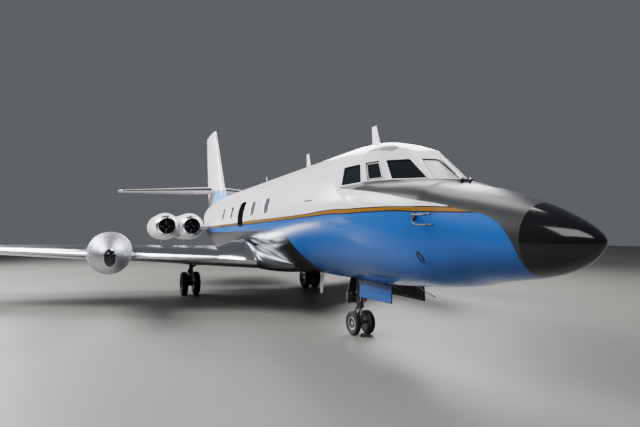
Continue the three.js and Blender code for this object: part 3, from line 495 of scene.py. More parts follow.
def box_corners(box, y=0, grow=0.0):
    s0, s1, z0, z1 = box["front"] - grow, box["rear"] + grow, box["low"] - grow, box["high"] + grow
    return [at(s0, y, z0), at(s1, y, z0), at(s1, y, z1), at(s0, y, z1)]


def side_prism(box, side, grow=0.0):
    """A rounded block through the fuselage side, for a window or a door."""
    return prism(box_corners(box, 0, grow), box["corner"] + grow, (0, side * 1.3, 0),
        (0, side * 0.7, 0))


def window_box(index, grow=0.0):
    middle = WINDOW_FIRST + index * WINDOW_PITCH
    half = WINDOW["width"] / 2 + grow
    return {"front": middle - half, "rear": middle + half, "low": WINDOW["low"] - grow,
        "high": WINDOW["high"] + grow, "corner": WINDOW["corner"] + grow}


def carve(bm, tools, operation="DIFFERENCE", look=INNER):
    """The mesh cut by, met or merged with the tools, whose faces get one material index."""
    objects = []
    for name, source in (("carved", bm), ("tools", faced(joined(tools), look))):
        mesh = mesh_of(name, source)
        for _ in (SKIN, INNER, BROW_FACE):
            mesh.materials.append(None)
        objects.append(linked(name, mesh))
    whole, tool = objects
    modifier = whole.modifiers.new("cut", "BOOLEAN")
    modifier.operation = operation
    modifier.solver = "EXACT"
    modifier.material_mode = "INDEX"
    modifier.object = tool
    result = whole.evaluated_get(bpy.context.evaluated_depsgraph_get())
    cut = bmesh.new()
    cut.from_mesh(result.to_mesh())
    result.to_mesh_clear()
    for item in objects:
        mesh = item.data
        bpy.data.objects.remove(item)
        bpy.data.meshes.remove(mesh)
    if not cut.faces:
        raise RuntimeError(f"{operation} left nothing")
    return cut


def piece(name, bm, looks, replaces=(), body="airframe", sharp=30):
    """Puts a finished mesh, or parts to be joined, in the scene as a piece that rides a body."""
    mesh = mesh_of(name, joined(bm) if isinstance(bm, list) else bm)
    mesh.shade_smooth()
    mesh.set_sharp_from_angle(angle=radians(sharp))
    for look in looks if isinstance(looks, (list, tuple)) else [looks]:
        mesh.materials.append(MATERIALS[look])
    obj = linked(name, mesh)
    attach(obj, body)
    if replaces:
        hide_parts(*replaces)
    return obj


def facet_frame(corners, side):
    """The outward normal of a flat pane and its corners in space."""
    points = [at(s, side * y, z) for s, y, z in corners]
    normal = (points[1] - points[0]).cross(points[2] - points[0]).normalized()
    return (normal if normal.z > 0 else -normal), points


def kept_above(bm, z):
    """The mesh with all below a height cut away and the cut closed."""
    bmesh.ops.bisect_plane(bm, geom=bm.verts[:] + bm.edges[:] + bm.faces[:], dist=1e-5,
        plane_co=(0, 0, z), plane_no=(0, 0, 1), clear_inner=True)
    bmesh.ops.holes_fill(bm, edges=[e for e in bm.edges if e.is_boundary], sides=0)
    return outward(bm)


def facet_tool(corners, side, inset):
    """A block with one face on a cockpit facet, for cutting all outside it."""
    normal, points = facet_frame(corners, side)
    bm = bmesh.new()
    bmesh.ops.create_cube(bm, size=6)
    bmesh.ops.translate(bm, vec=(0, 0, 3), verts=bm.verts[:])
    placed(bm, normal, points[0] - normal * inset)
    return kept_above(bm, FACET_FLOOR)


def flattened(bm, inset=0.0):
    """The cockpit form cut flat on its eight facets in turn."""
    for corners in FACETS:
        for _, side in SIDES:
            bm = carve(bm, [facet_tool(corners, side, inset)], look=SKIN)
    return bm


def pane_prism(name, side):
    """A block through one cockpit window, square to its pane."""
    normal, points = facet_frame(PANES[name], side)
    return prism(points, PANE_CORNER, normal * 0.12, normal * -0.24)


# Sections of the flying surfaces


def foil(share, thick, camber):
    poly = (0.2969 * sqrt(share) - 0.126 * share - 0.3516 * share ** 2 + 0.2843 * share ** 3
        - 0.1036 * share ** 4)
    return 5 * thick * poly + EDGE_THICK * share, 4 * camber * share * (1 - share)


def section(panel, y):
    """Leading edge, chord, height and relative thickness at a span station."""
    chord = panel["chord"] - panel["taper"] * y
    ends = [t * (panel["chord"] - panel["taper"] * panel[e])
        for t, e in ((panel["thick"], "root"), (panel["thin"], "tip"))]
    share = (y - panel["root"]) / (panel["tip"] - panel["root"])
    depth = ends[0] + (ends[1] - ends[0]) * share
    lead = panel["quarter"] + panel["sweep"] * y - chord / 4
    return lead, chord, panel["z"] + panel["rise"] * (y - panel["root"]), depth / chord


def on_panel(panel, side, s, off, y):
    return at(s, off, y) if panel["upright"] else at(s, side * y, off)


def hinge_at(panel, y, share):
    lead, chord, z, thick = section(panel, y)
    half, mean = foil(share, thick, panel["camber"])
    return lead + share * chord, z + mean * chord, half * chord


def foil_ring(panel, side, y, slim=1.0):
    """A whole section, finer at its nose; slim thins it towards a rounded tip."""
    lead, chord, z, thick = section(panel, y)
    shares = [(1 - cos(turn)) / 2 for turn in steps(0, pi, 22)]
    ring = []
    for share, sign in [(v, 1) for v in shares] + [(v, -1) for v in reversed(shares[1:])]:
        half, mean = foil(share, thick, panel["camber"])
        ring.append(on_panel(panel, side, lead + share * chord,
            z + (mean + sign * half * slim) * chord, y))
    return ring


def panel_body(panel, side, spans):
    """A flying surface through its span stations, closed with a rounded tip."""
    tip = panel["tip"]
    rings = [foil_ring(panel, side, y) for y in spans if y < tip - TIP_ROUND]
    for turn in steps(0, 1, 5):
        y = tip - TIP_ROUND * (1 - sin(turn * pi / 2))
        rings.append(foil_ring(panel, side, y, slim=max(cos(turn * pi / 2), 0.02)))
    return lofted(rings)


def control_body(panel, side, row):
    """A control surface: a round nose about its hinge line, then the section's tail."""
    _, inner, outer, share, _ = row

    def ring(y):
        lead, chord, z, thick = section(panel, y)
        hinge_s, hinge_z, radius = hinge_at(panel, y, share)
        tail = [share + (1 - share) * k for k in (0.15, 0.35, 0.55, 0.78, 1)]
        points = []
        for i in range(13):
            angle = pi / 2 + i * pi / 12
            points.append((hinge_s + radius * cos(angle), hinge_z + radius * sin(angle)))
        for v, sign in [(v, -1) for v in tail] + [(v, 1) for v in reversed(tail)]:
            half, mean = foil(v, thick, panel["camber"])
            points.append((lead + v * chord, z + (mean + sign * half) * chord))
        return [on_panel(panel, side, s, off, y) for s, off in points]

    return lofted([ring(y) for y in steps(inner, outer, 6)])


def hinge_block(panel, side, ends, share, height, front, rear=None):
    """A block along a hinge line; with no rear given it runs out past the trailing edge."""
    rings = []
    for y in ends:
        lead, chord, _, _ = section(panel, y)
        s, z, radius = hinge_at(panel, y, share)
        ahead, back = s - radius - front, lead + chord + 0.2 if rear is None else s + rear
        corners = ((ahead, -height), (back, -height), (back, height), (ahead, height))
        rings.append([on_panel(panel, side, a, z + off, y) for a, off in corners])
    return lofted(rings)


def bay(panel, side, row):
    """What a control's bay takes out of its panel."""
    _, inner, outer, share, gap = row
    return hinge_block(panel, side, (inner - gap, outer + gap), share, 0.4, SLOT)


def hinge_spots(row):
    return [row[1] + share * (row[2] - row[1]) for share in (0.12, 0.88)]


def hinge_lugs(panel, side, row):
    lugs = []
    for y in hinge_spots(row):
        ends = (y - 0.014, y + 0.014)
        lugs.append(hinge_block(panel, side, ends, row[3], 0.015, SLOT + 0.03, 0.004))
        pin = [on_panel(panel, side, *hinge_at(panel, v, row[3])[:2], v)
            for v in (y - 0.06, y + 0.06)]
        lugs.append(rod(*pin, 0.0115, bevel=0))
    return [faced(lug, INNER) for lug in lugs]


def control(panel, side, row):
    slots = [hinge_block(panel, side, (y - 0.03, y + 0.03), row[3], 0.4, 0.05, 0.022)
        for y in hinge_spots(row)]
    return carve(control_body(panel, side, row), slots)


def leading_strip(panel, side, inner, outer, share):
    """A strip wrapped round a leading edge over a share of the chord."""
    lift = 0.002

    def place(u, v):
        y = inner + (outer - inner) * u
        lead, chord, z, thick = section(panel, y)
        turn = (v - 0.5) * 2
        part = share * turn * turn
        half, mean = foil(part, thick, panel["camber"])
        return on_panel(panel, side, lead + part * chord - lift * 1.5,
            z + (mean + copysign(half, turn)) * chord + copysign(lift, turn), y)

    return thickened(outward(patch(place, 16, 20, closed=False)), lift * 2)


# Materials

# Materials of one piece, in the order of its material indices
METAL_PANEL = ["polished_aluminium", "enamelled_steel"]
PAINTED_PANEL = ["white_enamel", "enamelled_steel"]
LEG = ["enamelled_steel", "chromed_steel", "oiled_steel"]
MATERIALS = {}
BLEND = {"output": 2, "data_type": "RGBA"}  # what a Mix of two colours is set to


def add(tree, kind, inputs=(), output=0, **settings):
    """Adds a shader node with its settings, sets or links its inputs, and gives its output."""
    node = tree.nodes.new("ShaderNode" + kind)
    for name, value in settings.items():
        setattr(node, name, value)
    for socket, value in (inputs.items() if isinstance(inputs, dict) else enumerate(inputs)):
        if isinstance(value, bpy.types.NodeSocket):
            tree.links.new(value, node.inputs[socket])
        else:
            node.inputs[socket].default_value = value
    return node if output is None else node.outputs[output]


def per_mm(size):
    """The pattern scale that draws features of a size in millimetres."""
    return 1000 / size


def new_material(name):
    """A new material: its tree, its shader, the place on the jet, the station and the height."""
    material = bpy.data.materials.new(name)
    material.use_nodes = True
    MATERIALS[name] = material
    tree = material.node_tree
    coords = add(tree, "TexCoord", output="Object")
    split = add(tree, "SeparateXYZ", (coords,), None).outputs
    station = add(tree, "Math", (NOSE, split[0]), operation="SUBTRACT")
    return tree, tree.nodes["Principled BSDF"], coords, station, split[2]


def dress(shader, *sources):
    """Links a surface's colour, roughness, relief and share of metal to its shader."""
    for socket, source in zip(("Base Color", "Roughness", "Normal", "Metallic"), sources):
        shader.id_data.links.new(source, shader.inputs[socket])


def measured_curve(tree, value, points, start, end, low, high):
    """A line measured along the jet: value in start..end gives a result in low..high."""
    curved = add(tree, "FloatCurve", {"Value": add(tree, "MapRange", (value, start, end))}, None)
    curve = curved.mapping.curves[0]
    scaled = [((x - start) / (end - start), (y - low) / (high - low)) for x, y in points]
    curve.points[0].location, curve.points[1].location = scaled[0], scaled[-1]
    for location in scaled[1:-1]:
        curve.points.new(*location)
    for point in curve.points:
        point.handle_type = "AUTO_CLAMPED"
    curved.mapping.update()
    return add(tree, "MapRange", {0: curved.outputs[0], 3: low, 4: high})


PLAIN_NOSE = 1.9  # ahead of this station the skin is filled smooth, with no joints


def riveted_sheet(tree, coords, station, height, wave, sizes):
    """The relief of riveted sheet, and where its lap joints are. To show, the rivets have 6 mm
    heads and the joints are 3 mm wide, coarser than the real ones."""
    pitch = sizes.sheet_pitch
    joint = add(tree, "Math", (station, pitch / 2), operation="PINGPONG")
    seam = add(tree, "Math", (joint, 0.0015), operation="LESS_THAN")
    seam = add(tree, "Math",
        (seam, add(tree, "Math", (station, PLAIN_NOSE), operation="GREATER_THAN")),
        operation="MULTIPLY")
    across = add(tree, "Math", (joint, 0.016), operation="SUBTRACT")
    along = add(tree, "Math", (height, sizes.rivet_pitch / 2), operation="PINGPONG")
    near = add(tree, "Math",
        (add(tree, "Math", (across, 2.0), operation="POWER"),
        add(tree, "Math", (along, 2.0), operation="POWER")))
    head = add(tree, "Math", (near, 0.003 ** 2), operation="LESS_THAN")
    raised = add(tree, "Math", (head, 0.15, add(tree, "Math", (seam, -1.0), operation="MULTIPLY")),
        operation="MULTIPLY_ADD")
    lines = add(tree, "Bump", {"Height": raised, "Distance": 0.0008, "Strength": 0.5})
    buckles = add(tree, "TexNoise", {"Vector": coords, "Scale": per_mm(620), "Detail": 2.0})
    return add(tree, "Bump", {"Height": buckles, "Distance": wave, "Normal": lines}), seam


# Livery lines measured along the fuselage: station, height
BLACK_EDGE = (
    (0.55, 1.2), (0.562, 1.34), (0.575, 1.45), (0.594, 1.562), (0.674, 1.721), (0.77, 1.821),
    (0.906, 1.894), (1.006, 1.92), (1.234, 1.985), (1.294, 2.006), (1.698, 2.099),
    (2.126, 2.202), (2.854, 2.321), (2.94, 2.335),
)
SILL = ((1.545, 2.36), (1.7, 2.36), (1.9, 2.378), (2.2, 2.386), (2.5, 2.392), (2.88, 2.37),
        (3.0, 2.33))
GOLD_TOP = (
    (0.95, 1.95), (1.234, 1.984), (1.686, 2.012), (2.11, 2.027), (2.706, 2.033), (3.102, 2.045),
    (3.746, 2.03), (4.915, 2.016), (7.075, 2.021), (7.93, 2.006), (9.535, 1.992), (12.07, 1.988),
    (17.6, 1.988),
)
GOLD_FOOT = (
    (0.95, 1.915), (1.214, 1.928), (1.594, 1.95), (2.106, 1.974), (2.706, 1.974), (3.102, 1.986),
    (3.746, 1.978), (7.075, 1.95), (9.55, 1.941), (11.635, 1.925), (17.6, 1.925),
)
# Where the blue ends and bare metal begins: height, station
BLUE_REAR = (
    (0.94, 4.74), (1.05, 4.62), (1.15, 4.55), (1.22, 4.55), (1.29, 4.62), (1.446, 4.75),
    (1.64, 4.915), (1.737, 5.09), (1.805, 5.3),
)
BLUE_FOOT = 1.79
NOSE_BLACK, BROW_BLACK = 1.574, 2.94  # ahead of these stations all above the edge is black
BROW_ROUGH = 0.34


def livery_enamel(name, all_black, colours, sizes):
    """Sprayed polyurethane enamel on riveted sheet: a deep gloss that mirrors the floor, a
    satin black brow, and bare sheet behind the blue, made dark as painted shade and painted
    reflection of a dark floor."""
    tree, shader, coords, station, height = new_material(name)
    black_edge = measured_curve(tree, station, BLACK_EDGE, 0.55, 2.94, 1.2, 2.335)
    sill = measured_curve(tree, station, SILL, 1.545, 3.0, 2.3, 2.4)
    gold_top = measured_curve(tree, station, GOLD_TOP, 0.95, 17.6, 1.9, 2.1)
    gold_foot = measured_curve(tree, station, GOLD_FOOT, 0.95, 17.6, 1.9, 2.1)
    blue_rear = measured_curve(tree, height, BLUE_REAR, 0.94, 1.805, 4.5, 5.3)
    above, cheat, over_foot = (add(tree, "Math", (height, line), operation="GREATER_THAN")
        for line in (black_edge, BLUE_FOOT, gold_foot))
    below_sill, under, below_top = (add(tree, "Math", (height, line), operation="LESS_THAN")
        for line in (sill, gold_foot, gold_top))
    ahead, front = (add(tree, "Math", (station, line), operation="LESS_THAN")
        for line in (all_black, blue_rear))
    brow, blue = (add(tree, "Math", pair, operation="MAXIMUM")
        for pair in ((ahead, below_sill), (cheat, front)))
    black, gold = (add(tree, "Math", pair, operation="MULTIPLY")
        for pair in ((above, brow), (below_top, over_foot)))
    edges = []
    for edge in (gold_top, gold_foot):
        off = add(tree, "Math", (add(tree, "Math", (height, edge), operation="SUBTRACT"),),
            operation="ABSOLUTE")
        edges.append(add(tree, "Math", (off, sizes.pinstripe), operation="LESS_THAN"))
    lines = add(tree, "Math", edges, operation="MAXIMUM")
    bare = under
    for paint in (blue, black):
        left = add(tree, "Math", (1.0, paint), operation="SUBTRACT")
        bare = add(tree, "Math", (bare, left), operation="MULTIPLY")
    normal, seam = riveted_sheet(tree, coords, station, height, 0.0016, sizes)
    chalk = add(tree, "TexNoise", {"Vector": coords, "Scale": per_mm(1200), "Detail": 4.0})
    white, blues = (add(tree, "Mix", {0: chalk, 6: paint, 7: shade}, **BLEND)
        for paint, shade in ((colours.white, colours.white_shade),
        (colours.blue, colours.blue_shade)))
    # Bare metal below the gold and behind the blue, made dark as painted shade and painted
    # reflection of the floor
    lower = add(tree, "Mix", {0: blue, 6: colours.belly_metal_painted_shade, 7: blues}, **BLEND)
    colour = add(tree, "Mix", {0: under, 6: white, 7: lower}, **BLEND)
    for share, paint in ((gold, colours.gold), (lines, colours.line), (black, colours.black)):
        colour = add(tree, "Mix", {0: share, 6: colour, 7: paint}, **BLEND)
    dirt = add(tree, "Math", (seam, 0.35), operation="MULTIPLY")
    colour = add(tree, "Mix", {0: dirt, 6: colour, 7: colours.line}, **BLEND)
    gloss = add(tree, "MapRange", {0: chalk, 3: 0.16, 4: 0.24})
    gloss = add(tree, "MapRange", {0: black, 3: gloss, 4: BROW_ROUGH})
    gloss = add(tree, "MapRange", {0: bare, 3: gloss, 4: 0.2})
    dress(shader, colour, gloss, normal, bare)


def sheet_finish(name, colour, shade, rough, wave, sizes, grain_mm=0, patch_mm=1200):
    """Riveted sheet with dirt in its joints: sprayed to an even gloss and a little chalked or,
    when it has a grain, bare metal polished lengthwise in fine streaks."""
    tree, shader, coords, station, height = new_material(name)
    normal, seam = riveted_sheet(tree, coords, station, height, wave, sizes)
    if grain_mm:
        stretched = add(tree, "Mapping", {"Vector": coords, "Scale": (0.08, 1.0, 1.0)})
        streaks = add(tree, "TexNoise",
            {"Vector": stretched, "Scale": per_mm(grain_mm), "Detail": 3.0})
        stains = add(tree, "TexNoise", {"Vector": coords, "Scale": per_mm(900), "Detail": 4.0})
        share = add(tree, "Math", (streaks, 0.5, stains), operation="MULTIPLY_ADD")
        dirt, dirty, spread = 0.5, "#33363a", 0.14
        shader.inputs["Metallic"].default_value = 1.0
    else:
        share = add(tree, "TexNoise", {"Vector": coords, "Scale": per_mm(patch_mm), "Detail": 5.0})
        dirt, dirty, spread = 0.3, "#3a3c40", 0.1
    base = add(tree, "Mix", {0: share, 6: colour, 7: shade}, **BLEND)
    dirt = add(tree, "Math", (seam, dirt), operation="MULTIPLY")
    base = add(tree, "Mix", {0: dirt, 6: base, 7: linear(dirty)}, **BLEND)
    dress(shader, base, add(tree, "MapRange", {0: share, 3: rough, 4: rough + spread}), normal)


# Name, colour, second colour, roughness, grain in mm, depth in mm, metallic
MOTTLED = (
    # Cast aluminium alloy: dull, with a fine sand texture
    ("cast_alloy", "#54575b", "#3f4246", 0.45, 5, 0.3, 0.6),
    # Forged steel under thick dark enamel: satin, with soft orange peel
    ("enamelled_steel", "#3a3d40", "#26292c", 0.4, 6, 0.25, 0.0),
    # Oiled forged steel: olive brown, half gloss
    ("oiled_steel", "#85846f", "#5f5f52", 0.36, 6, 0.2, 0.6),
    # Ground and chromed steel: a clean bright mirror
    ("chromed_steel", "#d6d8da", "#b9bcc0", 0.1, 4, 0.0, 1.0),
    # Engine steel, nearly black and satin: soot on the exhaust cone, and painted shade on the fan
    # deep in the intake
    ("soot_and_shade_steel", "#232426", "#131416", 0.45, 8, 0.3, 0.6),
    # Heat-stained pressed steel: straw and blue-grey patches
    ("heat_stained_steel", "#7d6d5e", "#4a4b52", 0.3, 8, 0.2, 0.9),
    # Moulded tyre rubber: matt, dusty near black
    ("tyre_rubber", "#1c1c1c", "#2a2826", 0.78, 5, 0.5, 0.0),
    # Cemented de-icer rubber: smooth black with a dull sheen
    ("boot_rubber", "#121315", "#1e1f21", 0.5, 12, 0.2, 0.0),
    # Extruded seal rubber: matt black
    ("seal_rubber", "#0f0f10", "#17171a", 0.65, 8, 0.2, 0.0),
    # Primer on the nose door insides and on small fittings: dark and rough, made near black as
    # painted shade to read as depth
    ("dark_primer_and_shade", "#1b1d1b", "#272a26", 0.7, 15, 0.5, 0.0),
    # Padded cabin lining, also in the wheel well: woven cloth, made dark as painted shade of the
    # unlit inside
    ("lining_painted_shade", "#2b2723", "#1f1c19", 0.9, 4, 0.5, 0.0),
    # Pleated window blind cloth: pale blue grey
    ("blind_cloth", "#7c8896", "#6a7583", 0.85, 3, 0.4, 0.0),
    # Vinyl-covered panel: crackle black
    ("crackle_black", "#1c1c1d", "#262627", 0.6, 3, 0.3, 0.0),
    # Short carpet: warm grey
    ("wool_carpet", "#4a443c", "#38332c", 0.95, 6, 2.0, 0.0),
    # Moulded fibreglass aerial: satin off-white
    ("moulded_fibreglass", "#d9dad7", "#c3c5c3", 0.35, 20, 0.1, 0.0),
    # Flat greenish grey, for the plate on the cockpit roof
    ("grey_primer", "#85867f", "#74756c", 0.55, 8, 0.2, 0.0),
    # Anodised fittings: satin grey
    ("anodised_alloy", "#a4a7aa", "#8b8e92", 0.3, 5, 0.1, 0.9),
)


def mottled(name, colour, shade, rough, grain, depth, metallic):
    """A cast, moulded or woven surface: two mottled colours over a fine grain."""
    tree, shader, coords, *_ = new_material(name)
    patches = add(tree, "TexNoise", {"Vector": coords, "Scale": per_mm(250), "Detail": 3.0})
    base = add(tree, "Mix", {0: patches, 6: linear(colour), 7: linear(shade)}, **BLEND)
    dress(shader, base, add(tree, "MapRange", {0: patches, 3: rough, 4: min(rough + 0.15, 1.0)}))
    if depth:
        fine = add(tree, "TexNoise", {"Vector": coords, "Scale": per_mm(grain), "Detail": 4.0})
        tree.links.new(add(tree, "Bump", {"Height": fine, "Distance": depth / 1000}),
            shader.inputs["Normal"])
    shader.inputs["Metallic"].default_value = metallic


def seat_leather(name, colour, shade):
    """Dyed upholstery leather: 4 mm pebble grain with creases, and a soft sheen."""
    tree, shader, coords, *_ = new_material(name)
    grain = add(tree, "TexVoronoi", {"Vector": coords, "Scale": per_mm(4)}, "Distance")
    creases = add(tree, "TexNoise", {"Vector": coords, "Scale": per_mm(60), "Detail": 6.0})
    height = add(tree, "Math", (grain, 0.3, creases), operation="MULTIPLY_ADD")
    base = add(tree, "Mix", {0: creases, 6: linear(colour), 7: linear(shade)}, **BLEND)
    dress(shader, base, add(tree, "MapRange", {0: creases, 3: 0.4, 4: 0.6}),
        add(tree, "Bump", {"Height": height, "Distance": 0.0012}))
    shader.inputs["Sheen Weight"].default_value = 0.15


def glazing_sheet(name, tint, haze, rough, clear, ior=1.49):
    """A clear pane: a clean reflection over its tint, with faint wipe marks."""
    tree, shader, coords, *_ = new_material(name)
    smears = add(tree, "TexNoise", {"Vector": coords, "Scale": per_mm(110), "Detail": 3.0})
    base = add(tree, "Mix", {0: smears, 6: linear(tint), 7: linear(haze)}, **BLEND)
    dress(shader, base, add(tree, "MapRange", {0: smears, 3: rough, 4: rough + 0.05}))
    shader.inputs["IOR"].default_value = ior
    shader.inputs["Transmission Weight"].default_value = clear


def make_materials(colours, sizes):
    MATERIALS.clear()
    livery_enamel("livery_enamel", NOSE_BLACK, colours, sizes)
    # The same paint on the shoulder under the windows, black up to the panes
    livery_enamel("brow_enamel", BROW_BLACK, colours, sizes)
    # Moulded radome under gloss black
    sheet_finish("radome_enamel", linear("#0c0c0e"), linear("#141417"), 0.08, 0.0006, sizes)
    # Gloss white on the pods and tail, and on the nose gear doors a blue darker than the livery's,
    # as painted shade under the belly
    sheet_finish("white_enamel", colours.white, colours.white_shade, 0.2, 0.0012, sizes)
    sheet_finish("door_blue_painted_shade", colours.blue_shade, linear("#153f7c"), 0.25, 0.0004, sizes, 0, 300)
    # Fin root fairing: light blue, made paler still as painted highlight
    sheet_finish("enamel_painted_highlight", colours.blue_painted_highlight, colours.blue_painted_highlight, 0.2, 0.0006, sizes, 0, 300)
    sheet_finish("polished_aluminium", colours.metal, linear("#b3b8bf"), 0.08, 0.003, sizes, 8)
    # Brushed skin of the tanks: softer than the wing, so it reads pale
    sheet_finish("brushed_aluminium", linear("#bfc0c8"), linear("#a3a5b0"), 0.32, 0.001, sizes, 8)
    # The same sheet on the belly, made dark as painted shade and painted reflection of a dark
    # floor
    sheet_finish("dull_aluminium", colours.belly_metal_painted_shade, linear("#55595d"), 0.22, 0.002, sizes, 8)
    # Spun lips and rims: the brightest metal
    sheet_finish("spun_aluminium", linear("#e8eaec"), linear("#cfd2d6"), 0.07, 0.0003, sizes, 3)
    for row in MOTTLED:
        mottled(*row)
    seat_leather("tan_leather", "#7a6a55", "#584b3b")
    seat_leather("dark_leather", "#3a332c", "#29241f")
    # Stretched acrylic side windows: dark from outside
    glazing_sheet("acrylic_pane", "#1a2226", "#222a2e", 0.03, 0.55)
    # Gold-filmed laminated windscreen: pale green
    glazing_sheet("laminated_pane", "#e0efe6", "#d2e4da", 0.06, 0.4, 1.52)
    # Double cabin pane over its blind
    glazing_sheet("cabin_pane", "#8894a3", "#76828f", 0.05, 0.7)
    # Moulded lamp window: dark behind the clear cover
    glazing_sheet("lamp_window", "#1a1c20", "#24272c", 0.05, 0.2)
    glazing_sheet("red_lens", "#b3161a", "#8d1014", 0.08, 0.3)
    glazing_sheet("green_lens", "#127a3e", "#0e5f30", 0.08, 0.3)


# Fuselage


def hull_body(stations, sides, inset=0.0):
    return lofted([superellipse(s, *hull_row(s), sides, inset) for s in stations])


def brow_body(sides):
    """The shoulder that runs aft under the windows, a hair inside the hull."""
    crown = monotone(BROW)
    rings = []
    for s in steps(NOSE_END + 0.0002, BROW[-1][0], 70):
        top, keel, half, middle, square = hull_row(s)
        if s > BROW[0][0]:
            top, square = crown(s), BROW_SQUARE
        rings.append(superellipse(s, top, keel, half, middle, square, sides, 0.001))
    return kept_above(lofted(rings), FACET_FLOOR)


def wheel_well():
    return slab((WELL["front"], WELL["rear"]), (-WELL["half"], WELL["half"]), (0.7, WELL["top"]),
        0)


def make_fuselage(sides):
    front = [0] + [RADOME_END * (i / 22) ** 2 for i in range(1, 23)]
    piece("radome_skin", hull_body(front, sides), "radome_enamel", ["radome"])
    piece("nose_skin", hull_body(steps(RADOME_END, NOSE_END, 24), sides), "livery_enamel",
        ["nose_section"])
    fine = 2 * sides
    shell = flattened(hull_body(steps(NOSE_END, COCKPIT_END, 80), fine))
    shell = carve(shell, [brow_body(fine)], "UNION", BROW_FACE)
    cavity = hull_body([NOSE_END + 0.15, *steps(1.8, COCKPIT_END + 0.01, 24)], 64, COCKPIT_WALL)
    cavity = kept_above(flattened(cavity, COCKPIT_WALL), FLOOR_Z)
    panes = [pane_prism(name, side) for name in PANES for _, side in SIDES]
    for tools in ([cavity], [wheel_well()], panes):
        shell = carve(shell, tools)
    piece("cockpit_skin", shell, ["livery_enamel", "lining_painted_shade", "brow_enamel"],
        ["cockpit_section"], sharp=10)
    shell = hull_body(steps(COCKPIT_END, CABIN_END, 38), sides)
    cavity = kept_above(hull_body((COCKPIT_END - 0.01, CABIN_END - 0.3), 64, WALL), FLOOR_Z)
    openings = [side_prism(window_box(i), side) for _, side in SIDES for i in WINDOWS_ON[side]]
    openings += [side_prism(EXIT, -1), side_prism(DOOR, 1, 0.005)]
    shell = carve(carve(shell, [cavity]), [wheel_well(), *openings])
    # The lining inside the walls, the well and the openings is dark as painted shade
    piece("cabin_skin", shell, ["livery_enamel", "lining_painted_shade"],
        ["cabin_section", "cabin_keel"])
    piece("aft_skin", hull_body(steps(CABIN_END, AFT_END, 24), sides), "livery_enamel",
        ["aft_fuselage"])
    piece("tail_cone_skin", hull_body(steps(AFT_END, CONE_END, 18), sides), "livery_enamel",
        ["tail_cone"])
    door = carve(hull_body((COCKPIT_END, *steps(3.7, 4.5, 4), 4.6), sides),
        [side_prism(DOOR, 1, -0.001)], "INTERSECT")
    door = carve(door, [hull_body((COCKPIT_END - 0.1, 4.7), 64, WALL)])
    piece("entry_door_skin", door, ["livery_enamel", "lining_painted_shade"], ["entry_door"])


# Glazing


def rounded_loop(corners, radius):
    bm = outline(corners, radius)
    loop = [vert.co.copy() for vert in next(iter(bm.faces)).verts]
    bm.free()
    return loop


def loop_frame(loop, normal, profile, follow=None):
    """A moulding round a loop: the profile is (outwards, off the surface)."""
    middle = sum(loop, Vector()) / len(loop)
    rings = []
    for i, point in enumerate(loop):
        along = (loop[(i + 1) % len(loop)] - loop[i - 1]).normalized()
        away = along.cross(normal).normalized()
        if away.dot(point - middle) < 0:
            away.negate()
        ring = [point + away * out + normal * up for out, up in profile]
        if follow:
            ring = [skin_point(NOSE - p.x, p.z, follow, up) for p, (_, up) in zip(ring, profile)]
        rings.append(ring)
    return lofted(rings + rings[:1], ends=False)


def frame_profile(width):
    """The section of a window moulding: a shallow crowned strip."""
    return ((0.0, -0.02), (0.0, 0.004), (0.004, 0.007), (width - 0.004, 0.007), (width, 0.003),
        (width, -0.004), (0.004, -0.02))


SLIDER_SHARE = 0.82
SLIDER_PROFILE = ((0.0, -0.014), (0.0, -0.003), (0.004, 0.0), (0.008, -0.003), (0.008, -0.014))
GASKET_PROFILE = ((-0.008, -0.013), (-0.008, -0.003), (0.0, 0.001), (0.006, 0.001),
                  (0.006, -0.013))
SEAL_PROFILE = ((-0.007, -0.018), (-0.007, -0.001), (0.0, 0.002), (0.001, -0.018))


def curved_pane(box, side, inset, thick):
    """A rounded pane that follows the fuselage side under its skin."""
    loop = rounded_loop(box_corners(box), box["corner"])
    middle = sum(loop, Vector()) / len(loop)

    def ring(share, depth):
        points = [middle + (p - middle) * share for p in loop]
        return [skin_point(NOSE - p.x, p.z, side, -depth) for p in points]

    rings = [ring(share, inset) for share in (0.02, 0.4, 0.75, 0.97)]
    rings += [ring(1, inset + 0.003), ring(1, inset + thick - 0.003)]
    rings += [ring(share, inset + thick) for share in (0.97, 0.75, 0.4, 0.02)]
    return lofted(rings)


def make_glazing(frame_width):
    for hand, side in SIDES:
        frames, seals_and_shade_strips = [], []
        for name, corners in PANES.items():
            normal, points = facet_frame(corners, side)
            loop = rounded_loop(points, PANE_CORNER)
            frames.append(loop_frame(loop, normal, frame_profile(frame_width)))
            seals_and_shade_strips.append(loop_frame(loop, normal, SEAL_PROFILE))
            if name == "sliding_window":
                middle = sum(points, Vector()) / len(points)
                inner = [middle + (p - middle) * SLIDER_SHARE for p in points]
                frames.append(loop_frame(rounded_loop(inner, PANE_CORNER), normal, SLIDER_PROFILE))
            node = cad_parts[f"{name}_{hand}"]
            node.data.materials.clear()
            node.data.materials.append(MATERIALS["laminated_pane" if name == "windscreen"
                else "acrylic_pane"])
        piece(f"cockpit_window_frames_{hand}", frames, "white_enamel")
        piece(f"cockpit_window_seals_{hand}", seals_and_shade_strips, "seal_rubber")
        windows = WINDOWS_ON[side]
        panes = [curved_pane(window_box(index, 0.001), side, 0.014, 0.02) for index in windows]
        nodes = ["cabin_windows_left"] if side > 0 else ["cabin_windows_right_front",
            "cabin_windows_right_rear"]
        piece(f"cabin_panes_{hand}", panes, "cabin_pane", nodes)
        blinds = [pleated_blind(window_box(index, 0.02), side) for index in windows]
        piece(f"cabin_blinds_{hand}", blinds, "blind_cloth")
        gaskets = [loop_frame(rounded_loop(box_corners(box, side), box["corner"]),
            Vector((0, side, 0)), GASKET_PROFILE, side) for box in map(window_box, windows)]
        piece(f"cabin_window_gaskets_{hand}", gaskets, "spun_aluminium")


